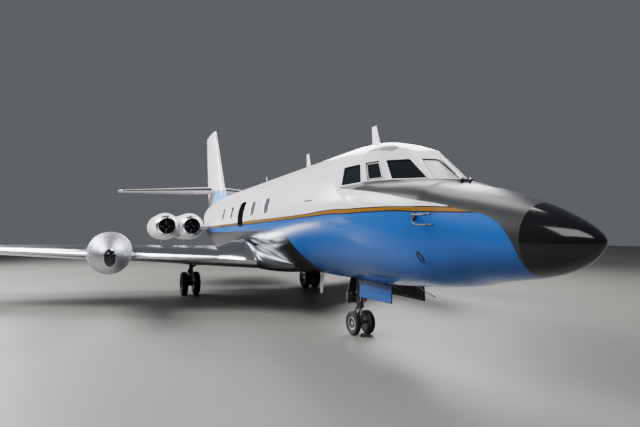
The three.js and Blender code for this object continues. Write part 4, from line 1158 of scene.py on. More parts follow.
PLEAT = 0.024


def pleated_blind(box, side):
    """A drawn blind: cloth folded into level pleats behind its pane."""
    def place(u, v):
        s = box["front"] + (box["rear"] - box["front"]) * u
        z = box["low"] + (box["high"] - box["low"]) * v
        fold = 0.003 * cos(tau * z / PLEAT)
        return skin_point(s, z, side, -0.078 + fold)

    return thickened(outward(patch(place, 6, 84, closed=False)), 0.002)


# Wings, tanks and fairing


def make_wings():
    for hand, side in SIDES:
        body = panel_body(WING, side, steps(WING["root"], WING["tip"], 30))
        body = carve(body, [bay(WING, side, row) for row in WING_CONTROLS])
        lugs = [lug for row in WING_CONTROLS for lug in hinge_lugs(WING, side, row)]
        piece(f"wing_skin_{hand}", [body, *lugs], METAL_PANEL, [f"wing_{hand}"])
        for row in WING_CONTROLS:
            piece(f"{row[0]}_skin_{hand}", control(WING, side, row), METAL_PANEL,
                [f"{row[0]}_{hand}"], f"{row[0]}_{hand}_body")


def on_tank(side, y, z, lift=0.0):
    """The point of a tank's nose straight behind a place in front of it."""
    dy, dz = y - TANK_Y, z - TANK_Z
    radius = hypot(dy, dz)
    low, high = TANK_PROFILE[0][0], TANK_PROFILE[4][0]
    for _ in range(40):
        middle = (low + high) / 2
        low, high = (middle, high) if TANK_RADIUS(middle) < radius else (low, middle)
    slope = (TANK_RADIUS(high + 0.002) - TANK_RADIUS(high)) / 0.002
    normal = Vector((slope, dy / max(radius, 1e-6), dz / max(radius, 1e-6))).normalized()
    point = Vector((NOSE - high, y, z)) + normal * lift
    return Vector((point.x, side * point.y, point.z))


def tank_lamp(side, lift, rim=0.0):
    """An oval patch, or with a rim a ring, laid on a tank's nose."""
    wide, tall = TANK_LAMP["wide"], TANK_LAMP["tall"]

    def place(u, v):
        reach = 1 + rim * u if rim else 1 - u
        angle = tau * v
        return on_tank(side, TANK_LAMP["y"] + wide * reach * cos(angle),
            TANK_LAMP["z"] + tall * reach * sin(angle), lift)

    bm = patch(place, 2 if rim else 8, 48, ends=False)
    return thickened(turned_towards(bm, Vector((1, 0, 0))), 0.006)


def make_tanks():
    for hand, side in SIDES:
        first, last = TANK_PROFILE[0][0], TANK_PROFILE[-1][0]
        stations = [first + (last - first) * (i / 60) ** 1.6 for i in range(61)]
        centre = at(0, side * TANK_Y, TANK_Z)
        body = turned([(s, TANK_RADIUS(s)) for s in stations], "X", centre, 72)
        bands = []
        for s in TANK_BANDS:
            profile = [(s + along, TANK_RADIUS(s) + up) for along, up in BAND_PROFILE]
            bands.append(turned(profile, "X", centre, 72, closed=True))
        bands.append(tube([on_tank(side, y, z) for y, z in TANK_SEAM], 0.006, 8))
        piece(f"tank_skin_{hand}", [body, *(faced(b, INNER) for b in bands)],
            ["brushed_aluminium", "spun_aluminium"], [f"tank_{hand}"])
        piece(f"tank_lamp_{hand}", tank_lamp(side, 0.002), "lamp_window")
        piece(f"tank_lamp_rim_{hand}", tank_lamp(side, 0.004, 0.12), "spun_aluminium")


def make_fairing():
    curves = [monotone([(row[0], row[k]) for row in FAIRING]) for k in (1, 2, 3)]
    rings = []
    for s in steps(FAIRING[0][0], FAIRING[-1][0], 48):
        half, keel, top = (curve(s) for curve in curves)
        rings.append(superellipse(s, top, keel, half, (keel + top) / 2, FAIRING_SQUARE, 64))
    # Made dark as painted shade and painted reflection of the floor
    piece("belly_fairing_skin", lofted(rings), "dull_aluminium",
        ["belly_fairing"])


# Tail


FIN_ROOT = {"low": 2.98, "high": 3.5, "share": 0.3, "flare": 0.17}


def fin_root():
    """The flared fairing round the foot of the fin's leading edge, with a black tube along each
    edge as painted shade of the gap there.
    """
    def place(u, v, lift=0.0):
        z = FIN_ROOT["low"] + (FIN_ROOT["high"] - FIN_ROOT["low"]) * u
        lead, chord, _, thick = section(FIN, z)
        turn = 2 * v - 1
        flare = FIN_ROOT["flare"] * (1 - u) ** 2 + 0.004 + lift
        part = FIN_ROOT["share"] * turn * turn
        half = foil(part, thick, 0)[0] * chord
        ahead = 1.6 * flare * (1 - turn * turn)
        return at(lead + part * chord - ahead,
            copysign(half + flare * min(1, 2 * abs(turn)), turn), z)

    skin = thickened(outward(patch(place, 14, 32, closed=False)), 0.006)
    # Black tubes along the fairing's two edges, painted shade of the dark gap beside it
    seals_and_shade_strips = [tube([place(u, v) for u in steps(0, 1, 8)], 0.018, 8) for v in (0, 1)]
    return joined([skin, *(faced(seal, INNER) for seal in seals_and_shade_strips)])


def make_tail(boot_share):
    bodies = []
    for _, side in SIDES:
        body = panel_body(TAILPLANE, side, steps(0.0, TAILPLANE["tip"], 16))
        notch = slab((TAIL_NOTCH["station"], 19), (-TAIL_NOTCH["half"], TAIL_NOTCH["half"]),
            (3.0, 4.2), bevel=0)
        bodies.append(carve(carve(body, [bay(TAILPLANE, side, ELEVATOR)]), [notch]))
        bodies += hinge_lugs(TAILPLANE, side, ELEVATOR)
    piece("tailplane_skin", bodies, PAINTED_PANEL, ["tailplane"])
    boots = [leading_strip(TAILPLANE, side, 0.3, 3.6, boot_share) for _, side in SIDES]
    piece("tailplane_boots", boots, "boot_rubber")
    for hand, side in SIDES:
        piece(f"elevator_skin_{hand}", control(TAILPLANE, side, ELEVATOR), PAINTED_PANEL,
            [f"elevator_{hand}"], f"elevator_{hand}_body")
    body = carve(panel_body(FIN, 1, steps(FIN["root"], FIN["tip"], 18)), [bay(FIN, 1, RUDDER)])
    piece("fin_skin", [body, *hinge_lugs(FIN, 1, RUDDER)], PAINTED_PANEL, ["fin"])
    piece("fin_boot", leading_strip(FIN, 1, 3.8, 6.05, 0.02), "anodised_alloy")
    piece("fin_root_fairing", fin_root(), ["enamel_painted_highlight", "seal_rubber"])
    piece("rudder_skin", control(FIN, 1, RUDDER), PAINTED_PANEL, ["rudder"],
        "rudder_body")


# Engine pods


def pod_web(side):
    """The fairing that fills the grooves between a pod's two cowls."""
    half_gap = (POD["outer"] - POD["inner"]) / 2
    front, rear = WEB_ENDS
    rings = []
    for s in steps(front, rear, 24):
        ease = sin(pi * (s - front) / (rear - front)) ** 0.35 if front < s < rear else 0.0
        top = 0.12 + 0.235 * ease
        ring = []
        for i in range(24):
            angle = tau * (i + 0.5) / 24
            z = top * copysign(abs(sin(angle)) ** 0.6, sin(angle))
            wide = max(half_gap - sqrt(max(0.41 ** 2 - z * z, 0.0)), 0.02) + 0.02
            across = copysign(abs(cos(angle)) ** 0.4, cos(angle))
            ring.append(at(POD["front"] + s, side * POD_MIDDLE + wide * across, POD["z"] + z))
        rings.append(ring)
    return lofted(rings)


def make_pods():
    cowl = monotone(COWL)
    for hand, side in SIDES:
        cowls, lips = [], []
        for end in ("inner", "outer"):
            y = side * POD[end]
            centre = at(POD["front"], y, POD["z"])
            skin = [(s, cowl(s)) for s in steps(LIP[0][0], COWL[-1][0], 40)]
            outer = turned(skin + list(reversed(TAILPIPE)), "X", centre, 64)
            shell = merged(joined([outer, turned(DUCT, "X", centre, 64)]))
            for face in shell.faces:
                middle = face.calc_center_median()
                reach = hypot(middle.y - y, middle.z - POD["z"])
                s = NOSE - middle.x - POD["front"]
                face.material_index = INNER if reach < 0.275 and s > 3 or (reach < 0.3
                    and s < 0.43) else SKIN
            cowls.append(shell)
            lips.append(turned(LIP, "X", centre, 64))
            core = turned(CORE, "X", centre, 40)
            struts = []
            for turn in range(4):
                blade = slab((POD["front"] + 0.3, POD["front"] + 0.42), (-0.005, 0.005),
                    (0.06, 0.243), 0.002)
                bmesh.ops.rotate(blade, cent=(0, 0, 0),
                    matrix=Matrix.Rotation(turn * pi / 2, 3, "X"), verts=blade.verts[:])
                bmesh.ops.translate(blade, vec=(0, y, POD["z"]), verts=blade.verts[:])
                struts.append(faced(blade, INNER))
            # The core is near black: soot at its exhaust cone, painted shade on its fan deep in
            # the intake
            piece(f"engine_core_{hand}_{end}", [core, *struts], ["soot_and_shade_steel", "anodised_alloy"],
                [f"engine_{hand}_{end}"])
        piece(f"pod_skin_{hand}", [*cowls, pod_web(side)], ["white_enamel", "heat_stained_steel"],
            [f"nacelle_{hand}"])
        piece(f"intake_lips_{hand}", lips, "spun_aluminium")
        length = PYLON["rear"] - PYLON["front"]
        rings = []
        for y in steps(PYLON["inner"], PYLON["outer"], 8):
            ring = []
            for i in range(32):
                angle = tau * i / 32
                s = PYLON["front"] + length / 2 * (1 - cos(angle))
                ring.append(at(s, side * y, POD["z"] + PYLON["half"] * sin(angle)))
            rings.append(ring)
        piece(f"pylon_skin_{hand}", lofted(rings), "white_enamel",
            [f"pylon_{hand}"])
        make_pod_fittings(hand, side)


def make_pod_fittings(hand, side):
    """Fasteners in the groove, drain masts under the cowls and a ram inlet at the pylon's root."""
    dark = []
    for dy, dz in ((-0.05, -0.3), (0.05, -0.3), (0.0, -0.25), (0.0, -0.34)):
        centre = at(POD["front"] + 0.62, side * (POD_MIDDLE + dy), POD["z"] + dz)
        dark.append(rod(centre + Vector((0.04, 0, 0)), centre - Vector((0.12, 0, 0)), 0.017,
            sides=12, bevel=0.002))
    y = side * PYLON["inner"] * 1.62
    inlet = [(0.0, 0.05), (0.0, 0.062), (0.03, 0.07), (0.3, 0.05), (0.42, 0.01), (0.1, 0.01)]
    dark.append(faced(turned(inlet, "X", at(PYLON["front"] + 0.05, y, POD["z"] + 0.1), 24,
        closed=True), INNER))
    for end in ("inner", "outer"):
        foot = at(POD["front"] + 1.9, side * POD[end], POD["z"] - 0.42)
        tip = foot + Vector((-0.1, 0, -0.13))
        dark.append(faced(rod(foot, tip, 0.016, 0.012, sides=12, bevel=0.002), INNER))
    piece(f"pod_fittings_{hand}", dark, ["seal_rubber", "anodised_alloy"])


# Landing gear


def axle_point(gear, y):
    return at(gear["s"], y, gear["r"])


def tyre(gear, y, groove):
    """A tyre with a rounded shoulder, sidewall bead and four tread grooves."""
    r, half, hub = gear["r"], gear["w"] / 2, gear["hub"]
    profile = [(-half * 0.66, hub), (-half * 0.9, hub + (r - hub) * 0.25),
        (-half, hub + (r - hub) * 0.55), (-half * 0.96, hub + (r - hub) * 0.75),
        (-half * 0.82, r - 0.016), (-half * 0.66, r - 0.005)]
    for share in (-0.45, -0.16, 0.16, 0.45):
        edge = half * share
        profile += [(edge - 0.004, r), (edge - 0.003, r - groove), (edge + 0.003, r - groove),
            (edge + 0.004, r)]
    profile += [(-a, b) for a, b in reversed(profile[:6])]
    return turned(profile, "Y", axle_point(gear, y), 64, closed=True)


def wheel(gear, y, facing):
    """A cast hub with a polished rim, a dished face, black discs as painted shade of cooling
    holes, bolts and its cap.
    """
    half, rim = gear["w"] * 0.33, gear["hub"] - 0.0005
    profile = [(-half, 0), (-half, rim * 0.55), (-half * 0.9, rim), (half * 0.86, rim),
        (half * 0.95, rim * 0.98), (half * 0.95, rim * 0.86), (half * 0.55, rim * 0.8),
        (half * 0.3, rim * 0.62), (half * 0.36, rim * 0.34), (half * 0.75, rim * 0.26),
        (half * 0.8, 0)]
    disc = turned([(a * facing, r) for a, r in profile], "Y", axle_point(gear, y), 48)
    for face in disc.faces:
        middle = face.calc_center_median()
        reach = hypot(middle.x - (NOSE - gear["s"]), middle.z - gear["r"])
        if reach > rim * 0.84 or reach < rim * 0.24:
            face.material_index = INNER
    parts = [disc]
    for i in range(10):
        angle = tau * (i + 0.5) / 10
        arm = Vector((cos(angle), 0, sin(angle)))
        face = axle_point(gear, y + half * facing * 0.32)
        bolt = face + arm * rim * 0.46
        out = Vector((0, facing, 0))
        parts.append(rod(bolt, bolt + out * rim * 0.07, rim * 0.045, sides=6, bevel=0.001))
        # Each cooling hole is a black disc on the face: painted shade in place of a hole
        hole_shade_disc = face + arm * rim * 0.7 + out * half * 0.12
        parts.append(faced(rod(hole_shade_disc, hole_shade_disc + out * rim * 0.035, rim * 0.075, sides=14, bevel=0.001),
            BROW_FACE))
    return joined(parts)


GEARS = (
    ("nose", NOSE_GEAR, 0.0, "nose_wheels", ("left", "right")),
    ("main_left", MAIN_GEAR, MAIN_GEAR["y"], "main_wheels_left", ("outer", "inner")),
    ("main_right", MAIN_GEAR, -MAIN_GEAR["y"], "main_wheels_right", ("inner", "outer")),
)


def make_wheels(groove):
    for name, gear, y, body, ends in GEARS:
        node = "nose_wheel_hubs" if name == "nose" else f"main_wheel_hubs_{name[5:]}"
        hubs = [wheel(gear, y + sign * gear["offset"], sign) for sign in (1, -1)]
        axle = rod(axle_point(gear, y - gear["offset"]), axle_point(gear, y + gear["offset"]),
            gear["axle"])
        piece(f"{name}_hubs", [*hubs, axle], ["cast_alloy", "spun_aluminium", "seal_rubber"],
            [node], body)
        for sign, end in zip((1, -1), ends):
            node = f"nose_tyre_{end}" if name == "nose" else f"main_tyre_{name[5:]}_{end}"
            piece(f"{name}_rubber_{end}", tyre(gear, y + sign * gear["offset"], groove),
                "tyre_rubber", [node], body)


def collar(centre, radius, width, axis=(0, 0, 1)):
    """A ring clamped round a leg, with its edges eased."""
    half = Vector(axis).normalized() * width / 2
    return rod(centre - half, centre + half, radius, sides=32, bevel=0.006)


def torque_link(top, knee, foot, wide, thick):
    """A pair of tapered arms that meet at a knee pin, as plates on edge."""
    parts, across = [], Vector((0, 1, 0))

    def pin(point, reach, share, sides=14, bevel=0.002):
        half = across * wide * reach
        return rod(point - half, point + half, thick * share, sides=sides, bevel=bevel)

    for a, b in ((top, knee), (foot, knee)):
        for share in (-1, 1):
            near, far = a + across * wide * share, b + across * wide * 0.35 * share
            parts.append(rod(near, far, thick, thick * 0.75, sides=12, bevel=0.002))
        parts += [pin(a.lerp(b, 0.5), 0.65, 0.6, 10, 0.001), pin(a, 1.15, 1.25)]
    return parts + [pin(knee, 0.6, 1.3)]


def make_nose_leg():
    s, leg = NOSE_GEAR["s"], NOSE_LEG
    barrel = rod(at(s, 0, leg["split"] + 0.0005), at(s, 0, leg["top"]), leg["radius"], sides=32)
    parts = [barrel, collar(at(s, 0, 0.7), 0.08, 0.06), collar(at(s, 0, 0.545), 0.071, 0.036),
        collar(at(s, 0, 0.93), 0.07, 0.03),
        rod(at(s, -0.23, 1.12), at(s, 0.23, 1.12), 0.034, sides=24),
        collar(at(s, 0.2, 1.12), 0.046, 0.04, (0, 1, 0)),
        collar(at(s, -0.2, 1.12), 0.046, 0.04, (0, 1, 0)),
        rod(at(s, 0, 0.86), at(s + 0.24, 0, 1.22), 0.026),
        collar(at(s + 0.13, 0, 1.055), 0.036, 0.05, (-0.24, 0, 0.36))]
    for z in (0.6, 0.82):
        parts.append(slab((s, LEG_DOOR_S - 0.01), (-0.04, 0.04), (z - 0.03, z + 0.03)))
    # Steering jacks either side of the collar
    for side in (1, -1):
        parts.append(rod(at(s + 0.045, side * 0.07, 0.7), at(s + 0.045, side * 0.15, 0.7), 0.022,
            sides=16))
        parts.append(faced(rod(at(s + 0.045, side * 0.15, 0.7), at(s + 0.045, side * 0.185, 0.7),
            0.011, sides=12, bevel=0.001), INNER))
    # Hydraulic lines clipped along the leg
    for side, reach in ((1, 0.05), (-1, 0.056)):
        path = bent([at(s - reach, side * 0.03, 0.56), at(s - reach - 0.02, side * 0.035, 0.64),
            at(s - reach - 0.012, side * 0.035, 0.8), at(s - reach, side * 0.04, 1.0),
            at(s - 0.02, side * 0.08, 1.18)], 2)
        parts.append(faced(tube(path, 0.007), INNER))
    back = LEG_DOOR_S
    rings = [[at(back, -half, z), at(back, half, z), at(back - thick, half, z),
        at(back - thick, -half, z)] for z, half, thick in LEG_DOOR]
    parts.append(bevelled(lofted(rings), 0.004))
    for z in (0.56, 0.63):
        parts.append(faced(rod(at(back - 0.062, -0.15, z), at(back - 0.062, 0.15, z), 0.006,
            sides=8, bevel=0.0), BROW_FACE))
    piece("nose_leg_casting", parts, LEG, ["nose_gear_leg"])
    split, r = leg["split"], NOSE_GEAR["r"]
    fork = [faced(rod(at(s, 0, r), at(s, 0, split - 0.04), leg["piston"], sides=32), INNER),
        rod(at(s, 0, split - 0.07), at(s, 0, split), leg["radius"], sides=32),
        faced(rod(at(s, -leg["block"] / 2, r), at(s, leg["block"] / 2, r), 0.0418, sides=28),
        BROW_FACE), faced(collar(at(s, 0, 0.27), 0.052, 0.05), BROW_FACE)]
    knee = at(s + 0.17, 0, (split + r) / 2)
    fork += torque_link(at(s + 0.045, 0, split - 0.045), knee, at(s + 0.03, 0, r + 0.045), 0.036,
        0.011)
    fork += [faced(slab((s - 0.075, s - 0.035), (-0.03, 0.03), (0.3, 0.35)), BROW_FACE),
        faced(slab((s - 0.07, s - 0.03), (-0.022, 0.022), (0.215, 0.26)), BROW_FACE)]
    piece("nose_leg_fork", fork, LEG, ["nose_gear_fork"], "nose_steering")


DOOR_EDGE = (0.006, 0.265)
DOOR_THICK = 0.02
DOOR_OPEN = 88
DOOR_HINGES = (2.885, 3.395)


def make_nose_doors():
    front, rear, hinge_y = NOSE_DOOR["front"], NOSE_DOOR["rear"], NOSE_DOOR["hinge_y"]
    for hand, side in SIDES:
        def place(u, v, lift=0.0):
            y = side * (DOOR_EDGE[0] + (DOOR_EDGE[1] - DOOR_EDGE[0]) * v)
            return keel_point(front + (rear - front) * u, y, lift)

        skin = turned_towards(patch(place, 20, 10, closed=False), Vector((0, 0, -1)))
        for face in thickened(skin, DOOR_THICK).faces:
            face.normal_update()
            # The door's inside and edges are near black, as painted shade
            face.material_index = SKIN if face.normal.z < -0.5 else INNER
        ribs = []
        edge = [place(u, v, DOOR_THICK + 0.004)
            for u, v in ((0.04, 0.12), (0.96, 0.12), (0.96, 0.86), (0.04, 0.86), (0.04, 0.12))]
        ribs.append(faced(tube(edge, 0.006, 6), BROW_FACE))
        for share in (0.3, 0.6):
            ribs.append(faced(rod(place(share, 0.14, DOOR_THICK), place(share, 0.84, DOOR_THICK),
                0.009, sides=8, bevel=0.001), INNER))
        for v in (0.97, 0.87, 0.77):
            strip = tube([place(u, v, -0.001) for u in steps(0.02, 0.98, 12)], 0.006, 8)
            ribs.append(faced(strip, INNER))
        hook = bent([place(0.9, 0.9, DOOR_THICK), place(0.9, 0.9, 0.07), place(0.84, 0.5, 0.075),
            place(0.82, 0.5, DOOR_THICK)])
        ribs.append(faced(tube(hook, 0.008), EXTRA))
        hinge_z = keel_point((front + rear) / 2, hinge_y, DOOR_THICK / 2).z
        for s in DOOR_HINGES:
            ends = [at(v, side * hinge_y, hinge_z) for v in (s - 0.02, s + 0.02)]
            ribs.append(faced(rod(*ends, 0.009, sides=14, bevel=0.001), INNER))
            ribs.append(faced(slab((s - 0.02, s + 0.02), (side * 0.235, side * 0.28),
                (hinge_z - 0.006, hinge_z + 0.006), 0.001), INNER))
        door = joined([skin, *ribs])
        turn = Matrix.Rotation(side * radians(DOOR_OPEN), 3, "X")
        bmesh.ops.rotate(door, cent=(0, side * hinge_y, hinge_z), matrix=turn, verts=door.verts[:])
        # The doors' blue is darker than the livery's, as painted shade under the belly
        piece(f"nose_door_skin_{hand}", door,
            ["door_blue_painted_shade", "dark_primer_and_shade", "oiled_steel", "anodised_alloy"],
            [f"nose_door_{hand}"], f"nose_door_{hand}_body")


def make_main_legs():
    leg, gear = MAIN_LEG, MAIN_GEAR
    for hand, side in SIDES:
        y = side * gear["y"]
        foot, head = at(gear["s"], y, gear["r"]), at(leg["top_s"], y, leg["top"])

        def along(z):
            return head.lerp(foot, (head.z - z) / (head.z - foot.z))

        axis = head - foot
        parts = [rod(along(leg["split"]), head, leg["radius"], sides=32),
            faced(rod(foot, along(leg["split"] - 0.005), leg["piston"], sides=32), INNER),
            collar(along(0.665), 0.082, 0.05, axis), collar(along(0.94), 0.08, 0.05, axis),
            collar(along(0.4), 0.066, 0.05, axis),
            rod(at(gear["s"], y - leg["block"] / 2, gear["r"]),
            at(gear["s"], y + leg["block"] / 2, gear["r"]), 0.0722, sides=28),
            rod(at(leg["top_s"], side * (gear["y"] - 0.03), 0.8),
            at(leg["top_s"] - 0.15, side * 1.25, 1.18), 0.034)]
        ahead = [Vector((foot.x + reach, y, z))
            for reach, z in ((0.06, 0.67), (0.21, 0.524), (0.04, 0.4))]
        parts += torque_link(*ahead, 0.045, 0.013)
        for share in (0.05, -0.05):
            path = bent([along(0.45) + Vector((-0.06, share, 0)),
                along(0.62) + Vector((-0.1, share, 0)), along(0.9) + Vector((-0.085, share, 0)),
                along(1.12) + Vector((-0.07, share * 0.6, 0))], 2)
            parts.append(faced(tube(path, 0.008), BROW_FACE))
        top_s = leg["top_s"]
        parts.append(faced(slab((top_s - 0.24, top_s + 0.06), (y + side * 0.078, y + side * 0.092),
            (0.76, 1.085)), EXTRA))
        parts.append(slab((top_s - 0.03, top_s + 0.02), (y, y + side * 0.08), (0.86, 0.94)))
        piece(f"main_leg_casting_{hand}", parts, [*LEG, "polished_aluminium"],
            [f"main_gear_leg_{hand}"])


# Cockpit and cabin


def cushion(s, y, z, crown, pull):
    """A padded block: crowned, with sewn channels, its sides pulled in between the corners."""
    bm = bmesh.new()
    bmesh.ops.create_cube(bm, size=2)
    bmesh.ops.subdivide_edges(bm, edges=bm.edges[:], cuts=13, use_grid_fill=True)
    half = Vector([(b - a) / 2 for a, b in (s, y, z)])
    middle = at(*((a + b) / 2 for a, b in (s, y, z)))
    thin = min(range(3), key=lambda k: half[k])
    wide = [k for k in range(3) if k != thin]
    for vert in bm.verts:
        p = vert.co.copy()
        swell = (1 - p[wide[0]] ** 2) * (1 - p[wide[1]] ** 2)
        q = Vector((p.x * half.x, p.y * half.y, p.z * half.z))
        edge = max(abs(p[wide[0]]), abs(p[wide[1]]))
        q[thin] *= 1 - 0.3 * edge ** 6
        q[thin] += copysign(crown * (0.35 + 0.65 * swell) - crown, p[thin]) * (abs(p[thin]) > 0.5)
        channel = cos(p[wide[1]] * pi * 2.5)
        q[thin] -= copysign(0.004 * max(channel, 0) ** 8, p[thin]) * (abs(p[thin]) > 0.9)
        for k, other in (wide, reversed(wide)):
            q[k] -= copysign(pull * (1 - p[other] ** 2), p[k]) * abs(p[k]) ** 5
        vert.co = middle + q
    bmesh.ops.smooth_vert(bm, verts=bm.verts[:], factor=0.5, use_axis_x=True, use_axis_y=True,
        use_axis_z=True)
    return outward(bm)


def seat_shell(s, y):
    """The frame of a seat under its cushions: pan, back, pedestal and arms."""
    rear = s + SEAT["depth"]
    low, foot = SEAT["base"] - SEAT["thick"], y * 0.8
    parts = [slab((s + 0.02, rear), (y - 0.2, y + 0.2), (low + 0.002, low + 0.022)),
        slab((rear + 0.09, rear + 0.118), (y - 0.19, y + 0.19), (low + 0.02, SEAT["back"] - 0.03),
        0.006), slab((s + 0.1, rear - 0.1), (foot - 0.09, foot + 0.09),
        (FLOOR_Z + 0.005, low + 0.01), 0.01)]
    for side in (1, -1):
        parts.append(slab((s + 0.06, rear + 0.04), (y + side * 0.205, y + side * 0.228),
            (SEAT["base"] - 0.1, SEAT["base"]), 0.006))
    return parts


def make_seat(name, s, y, leather):
    """A seat's two cushions, each a padded piece on its own."""
    rear = s + SEAT["depth"]
    low = SEAT["base"] - SEAT["thick"]
    base = cushion((s, rear + 0.005), (y - 0.2, y + 0.2), (low + 0.022, SEAT["base"]), 0.03, 0.012)
    back = cushion((rear, rear + 0.09), (y - 0.205, y + 0.205),
        (SEAT["base"] + 0.005, SEAT["back"]), 0.022, 0.014)
    for part, bm in (("base", base), ("back", back)):
        piece(f"{name}_{part}", bm, leather, sharp=60)


def dial(s, y, z, radius):
    """A round instrument facing aft: a bezel, its dark face and a pointer."""
    parts = [faced(turned([(0.0, radius), (0.008, radius), (0.008, radius * 0.88),
        (0.004, radius * 0.86), (0.004, 0)], "X", at(s, y, z), 24), INNER)]
    pointer = slab((s + 0.004, s + 0.0055), (y - 0.002, y + 0.002), (z, z + radius * 0.7), 0.0)
    parts.append(faced(pointer, BROW_FACE))
    return parts


# The rim of a control wheel: station, reach to the side, height
YOKE = ((2.43, -0.15, 2.04), (2.44, -0.16, 1.95), (2.44, -0.08, 1.92), (2.44, 0.08, 1.92),
    (2.44, 0.16, 1.95), (2.43, 0.15, 2.04))


def make_cockpit():
    panel_s = 2.23
    parts = [faced(slab((2.0, 3.56), (-0.48, 0.48), CARPET_Z, 0.002), EXTRA),
        slab((2.162, panel_s - 0.008), (-0.555, 0.555), (1.852, 2.238), 0.012),
        slab((2.062, 2.248), (-0.468, 0.468), (2.236, 2.264), 0.012),
        slab((2.162, 2.188), (-0.428, 0.428), (FLOOR_Z + 0.005, 1.9), 0.006),
        slab((2.182, 2.698), (-0.128, 0.128), (FLOOR_Z + 0.005, 1.745), 0.012)]
    for row, z in enumerate((2.16, 2.04)):
        for k in range(9):
            y = -0.48 + 0.12 * k
            parts += dial(panel_s - 0.008, y, z - 0.01 * row, 0.046)
    for k in range(4):
        for side in (1, -1):
            parts += dial(panel_s - 0.008, side * (0.06 + 0.09 * k), 1.935, 0.032)
    # Throttles and flap lever on the centre console
    for k in range(4):
        y = -0.06 + 0.04 * k
        parts.append(faced(rod(at(2.36, y, 1.745), at(2.34, y, 1.757), 0.006, sides=8, bevel=0.0),
            INNER))
        parts.append(slab((2.33, 2.36), (y - 0.012, y + 0.012), (1.745, 1.758), 0.003))
    for _, side in SIDES:
        y = side * 0.43
        parts.append(faced(rod(at(2.24, y, 1.86), at(2.44, y, 1.93), 0.014, sides=16), INNER))
        yoke = bent([at(s, y + reach, z) for s, reach, z in YOKE])
        parts.append(tube(yoke, 0.014, 12))
        parts += [faced(part, INNER) for part in seat_shell(PILOT_SEAT_S, y)]
    piece("cockpit_furniture", parts,
        ["crackle_black", "anodised_alloy", "moulded_fibreglass", "wool_carpet"],
        ["cockpit_interior"])
    for hand, side in SIDES:
        make_seat(f"crew_seat_{hand}", PILOT_SEAT_S, side * 0.43, "dark_leather")


def make_cabin():
    parts = [faced(slab((4.62, 10.86), (-0.5, 0.5), CARPET_Z, 0.002), INNER)]
    for s in CABIN_SEATS:
        for _, side in SIDES:
            parts += seat_shell(s, side * 0.56)
    piece("cabin_furniture", parts, ["anodised_alloy", "wool_carpet"],
        ["cabin_interior"])
    for number, s in enumerate(CABIN_SEATS, 1):
        for hand, side in SIDES:
            make_seat(f"cabin_seat_{number}_{hand}", s, side * 0.56, "tan_leather")


# Outside fittings


ROOF_AERIALS, BEACON_S = (3.4, 6.1), 8.0


def blade(foot, height, chord, tip, sweep, down=1):
    """A swept aerial blade that stands on the skin: rounded section, thinner at its tip."""
    rings = []
    for share in (0.0, 0.25, 0.5, 0.75, 0.93, 1.0):
        width = chord + (tip - chord) * share
        depth = 0.014 * (1 - 0.45 * share) * (1 if share < 1 else 0.35)
        ring = []
        for i in range(16):
            angle = tau * i / 16
            ring.append(foot + Vector((-(sweep * share + width / 2 * (1 - cos(angle))),
                depth * sin(angle), down * height * share)))
        rings.append(ring)
    return lofted(rings)


def make_aerials(height):
    front, rear = ROOF_AERIALS
    parts = [blade(roof_point(front, 0, -0.01), height, 0.24, 0.13, 0.13),
        blade(roof_point(rear, 0, -0.01), height, 0.22, 0.12, 0.12),
        rod(roof_point(9.08, 0, -0.01), at(9.16, 0, 3.11 + height * 0.6), 0.011, 0.007, sides=12),
        blade(keel_point(5.45, 0, 0.01), 0.44, 0.2, 0.1, 0.12, down=-1),
        blade(keel_point(8.9, 0, 0.12), 0.24, 0.16, 0.09, 0.08, down=-1)]
    for s in ROOF_AERIALS:
        z = roof_point(s, 0).z
        parts.append(slab((s - 0.02, s + 0.28), (-0.03, 0.03), (z - 0.008, z + 0.004)))
    piece("blade_aerials", parts, "moulded_fibreglass")
    low, foot, rim, top = (roof_point(BEACON_S, 0, lift) for lift in (-0.02, -0.01, 0.012, 0.075))
    lens = rod(foot, top, 0.05, 0.032, sides=24, bevel=0.012)
    ring = rod(low, rim, 0.062, sides=24)
    piece("roof_beacon", [lens, faced(ring, INNER)], ["red_lens", "anodised_alloy"])


# Side, arm as station, y and height off the glass, and blade ends: one is parked at the centre
# post and the other along the sill
WIPERS = (
    (-1, ((1.6, 0.06, 0.041), (1.62, 0.052, 0.044), (1.78, 0.05, 0.047), (1.955, 0.05, 0.049),
          (1.978, 0.052, 0.02)), ((1.72, 0.064), (1.95, 0.064))),
    (1, ((1.6, 0.06, 0.041), (1.66, 0.1, 0.034), (1.76, 0.21, 0.03), (1.83, 0.27, 0.018)),
     ((1.665, 0.09), (1.85, 0.29))),
)


def on_windscreen(side, s, y, lift=0.0):
    """A point of a windscreen pane's plane, lifted off it."""
    normal, points = facet_frame(PANES["windscreen"], side)
    spot = at(s, side * y, 0)
    spot.z = points[0].z + (points[0] - spot).xy.dot(normal.xy) / normal.z
    return spot + normal * lift


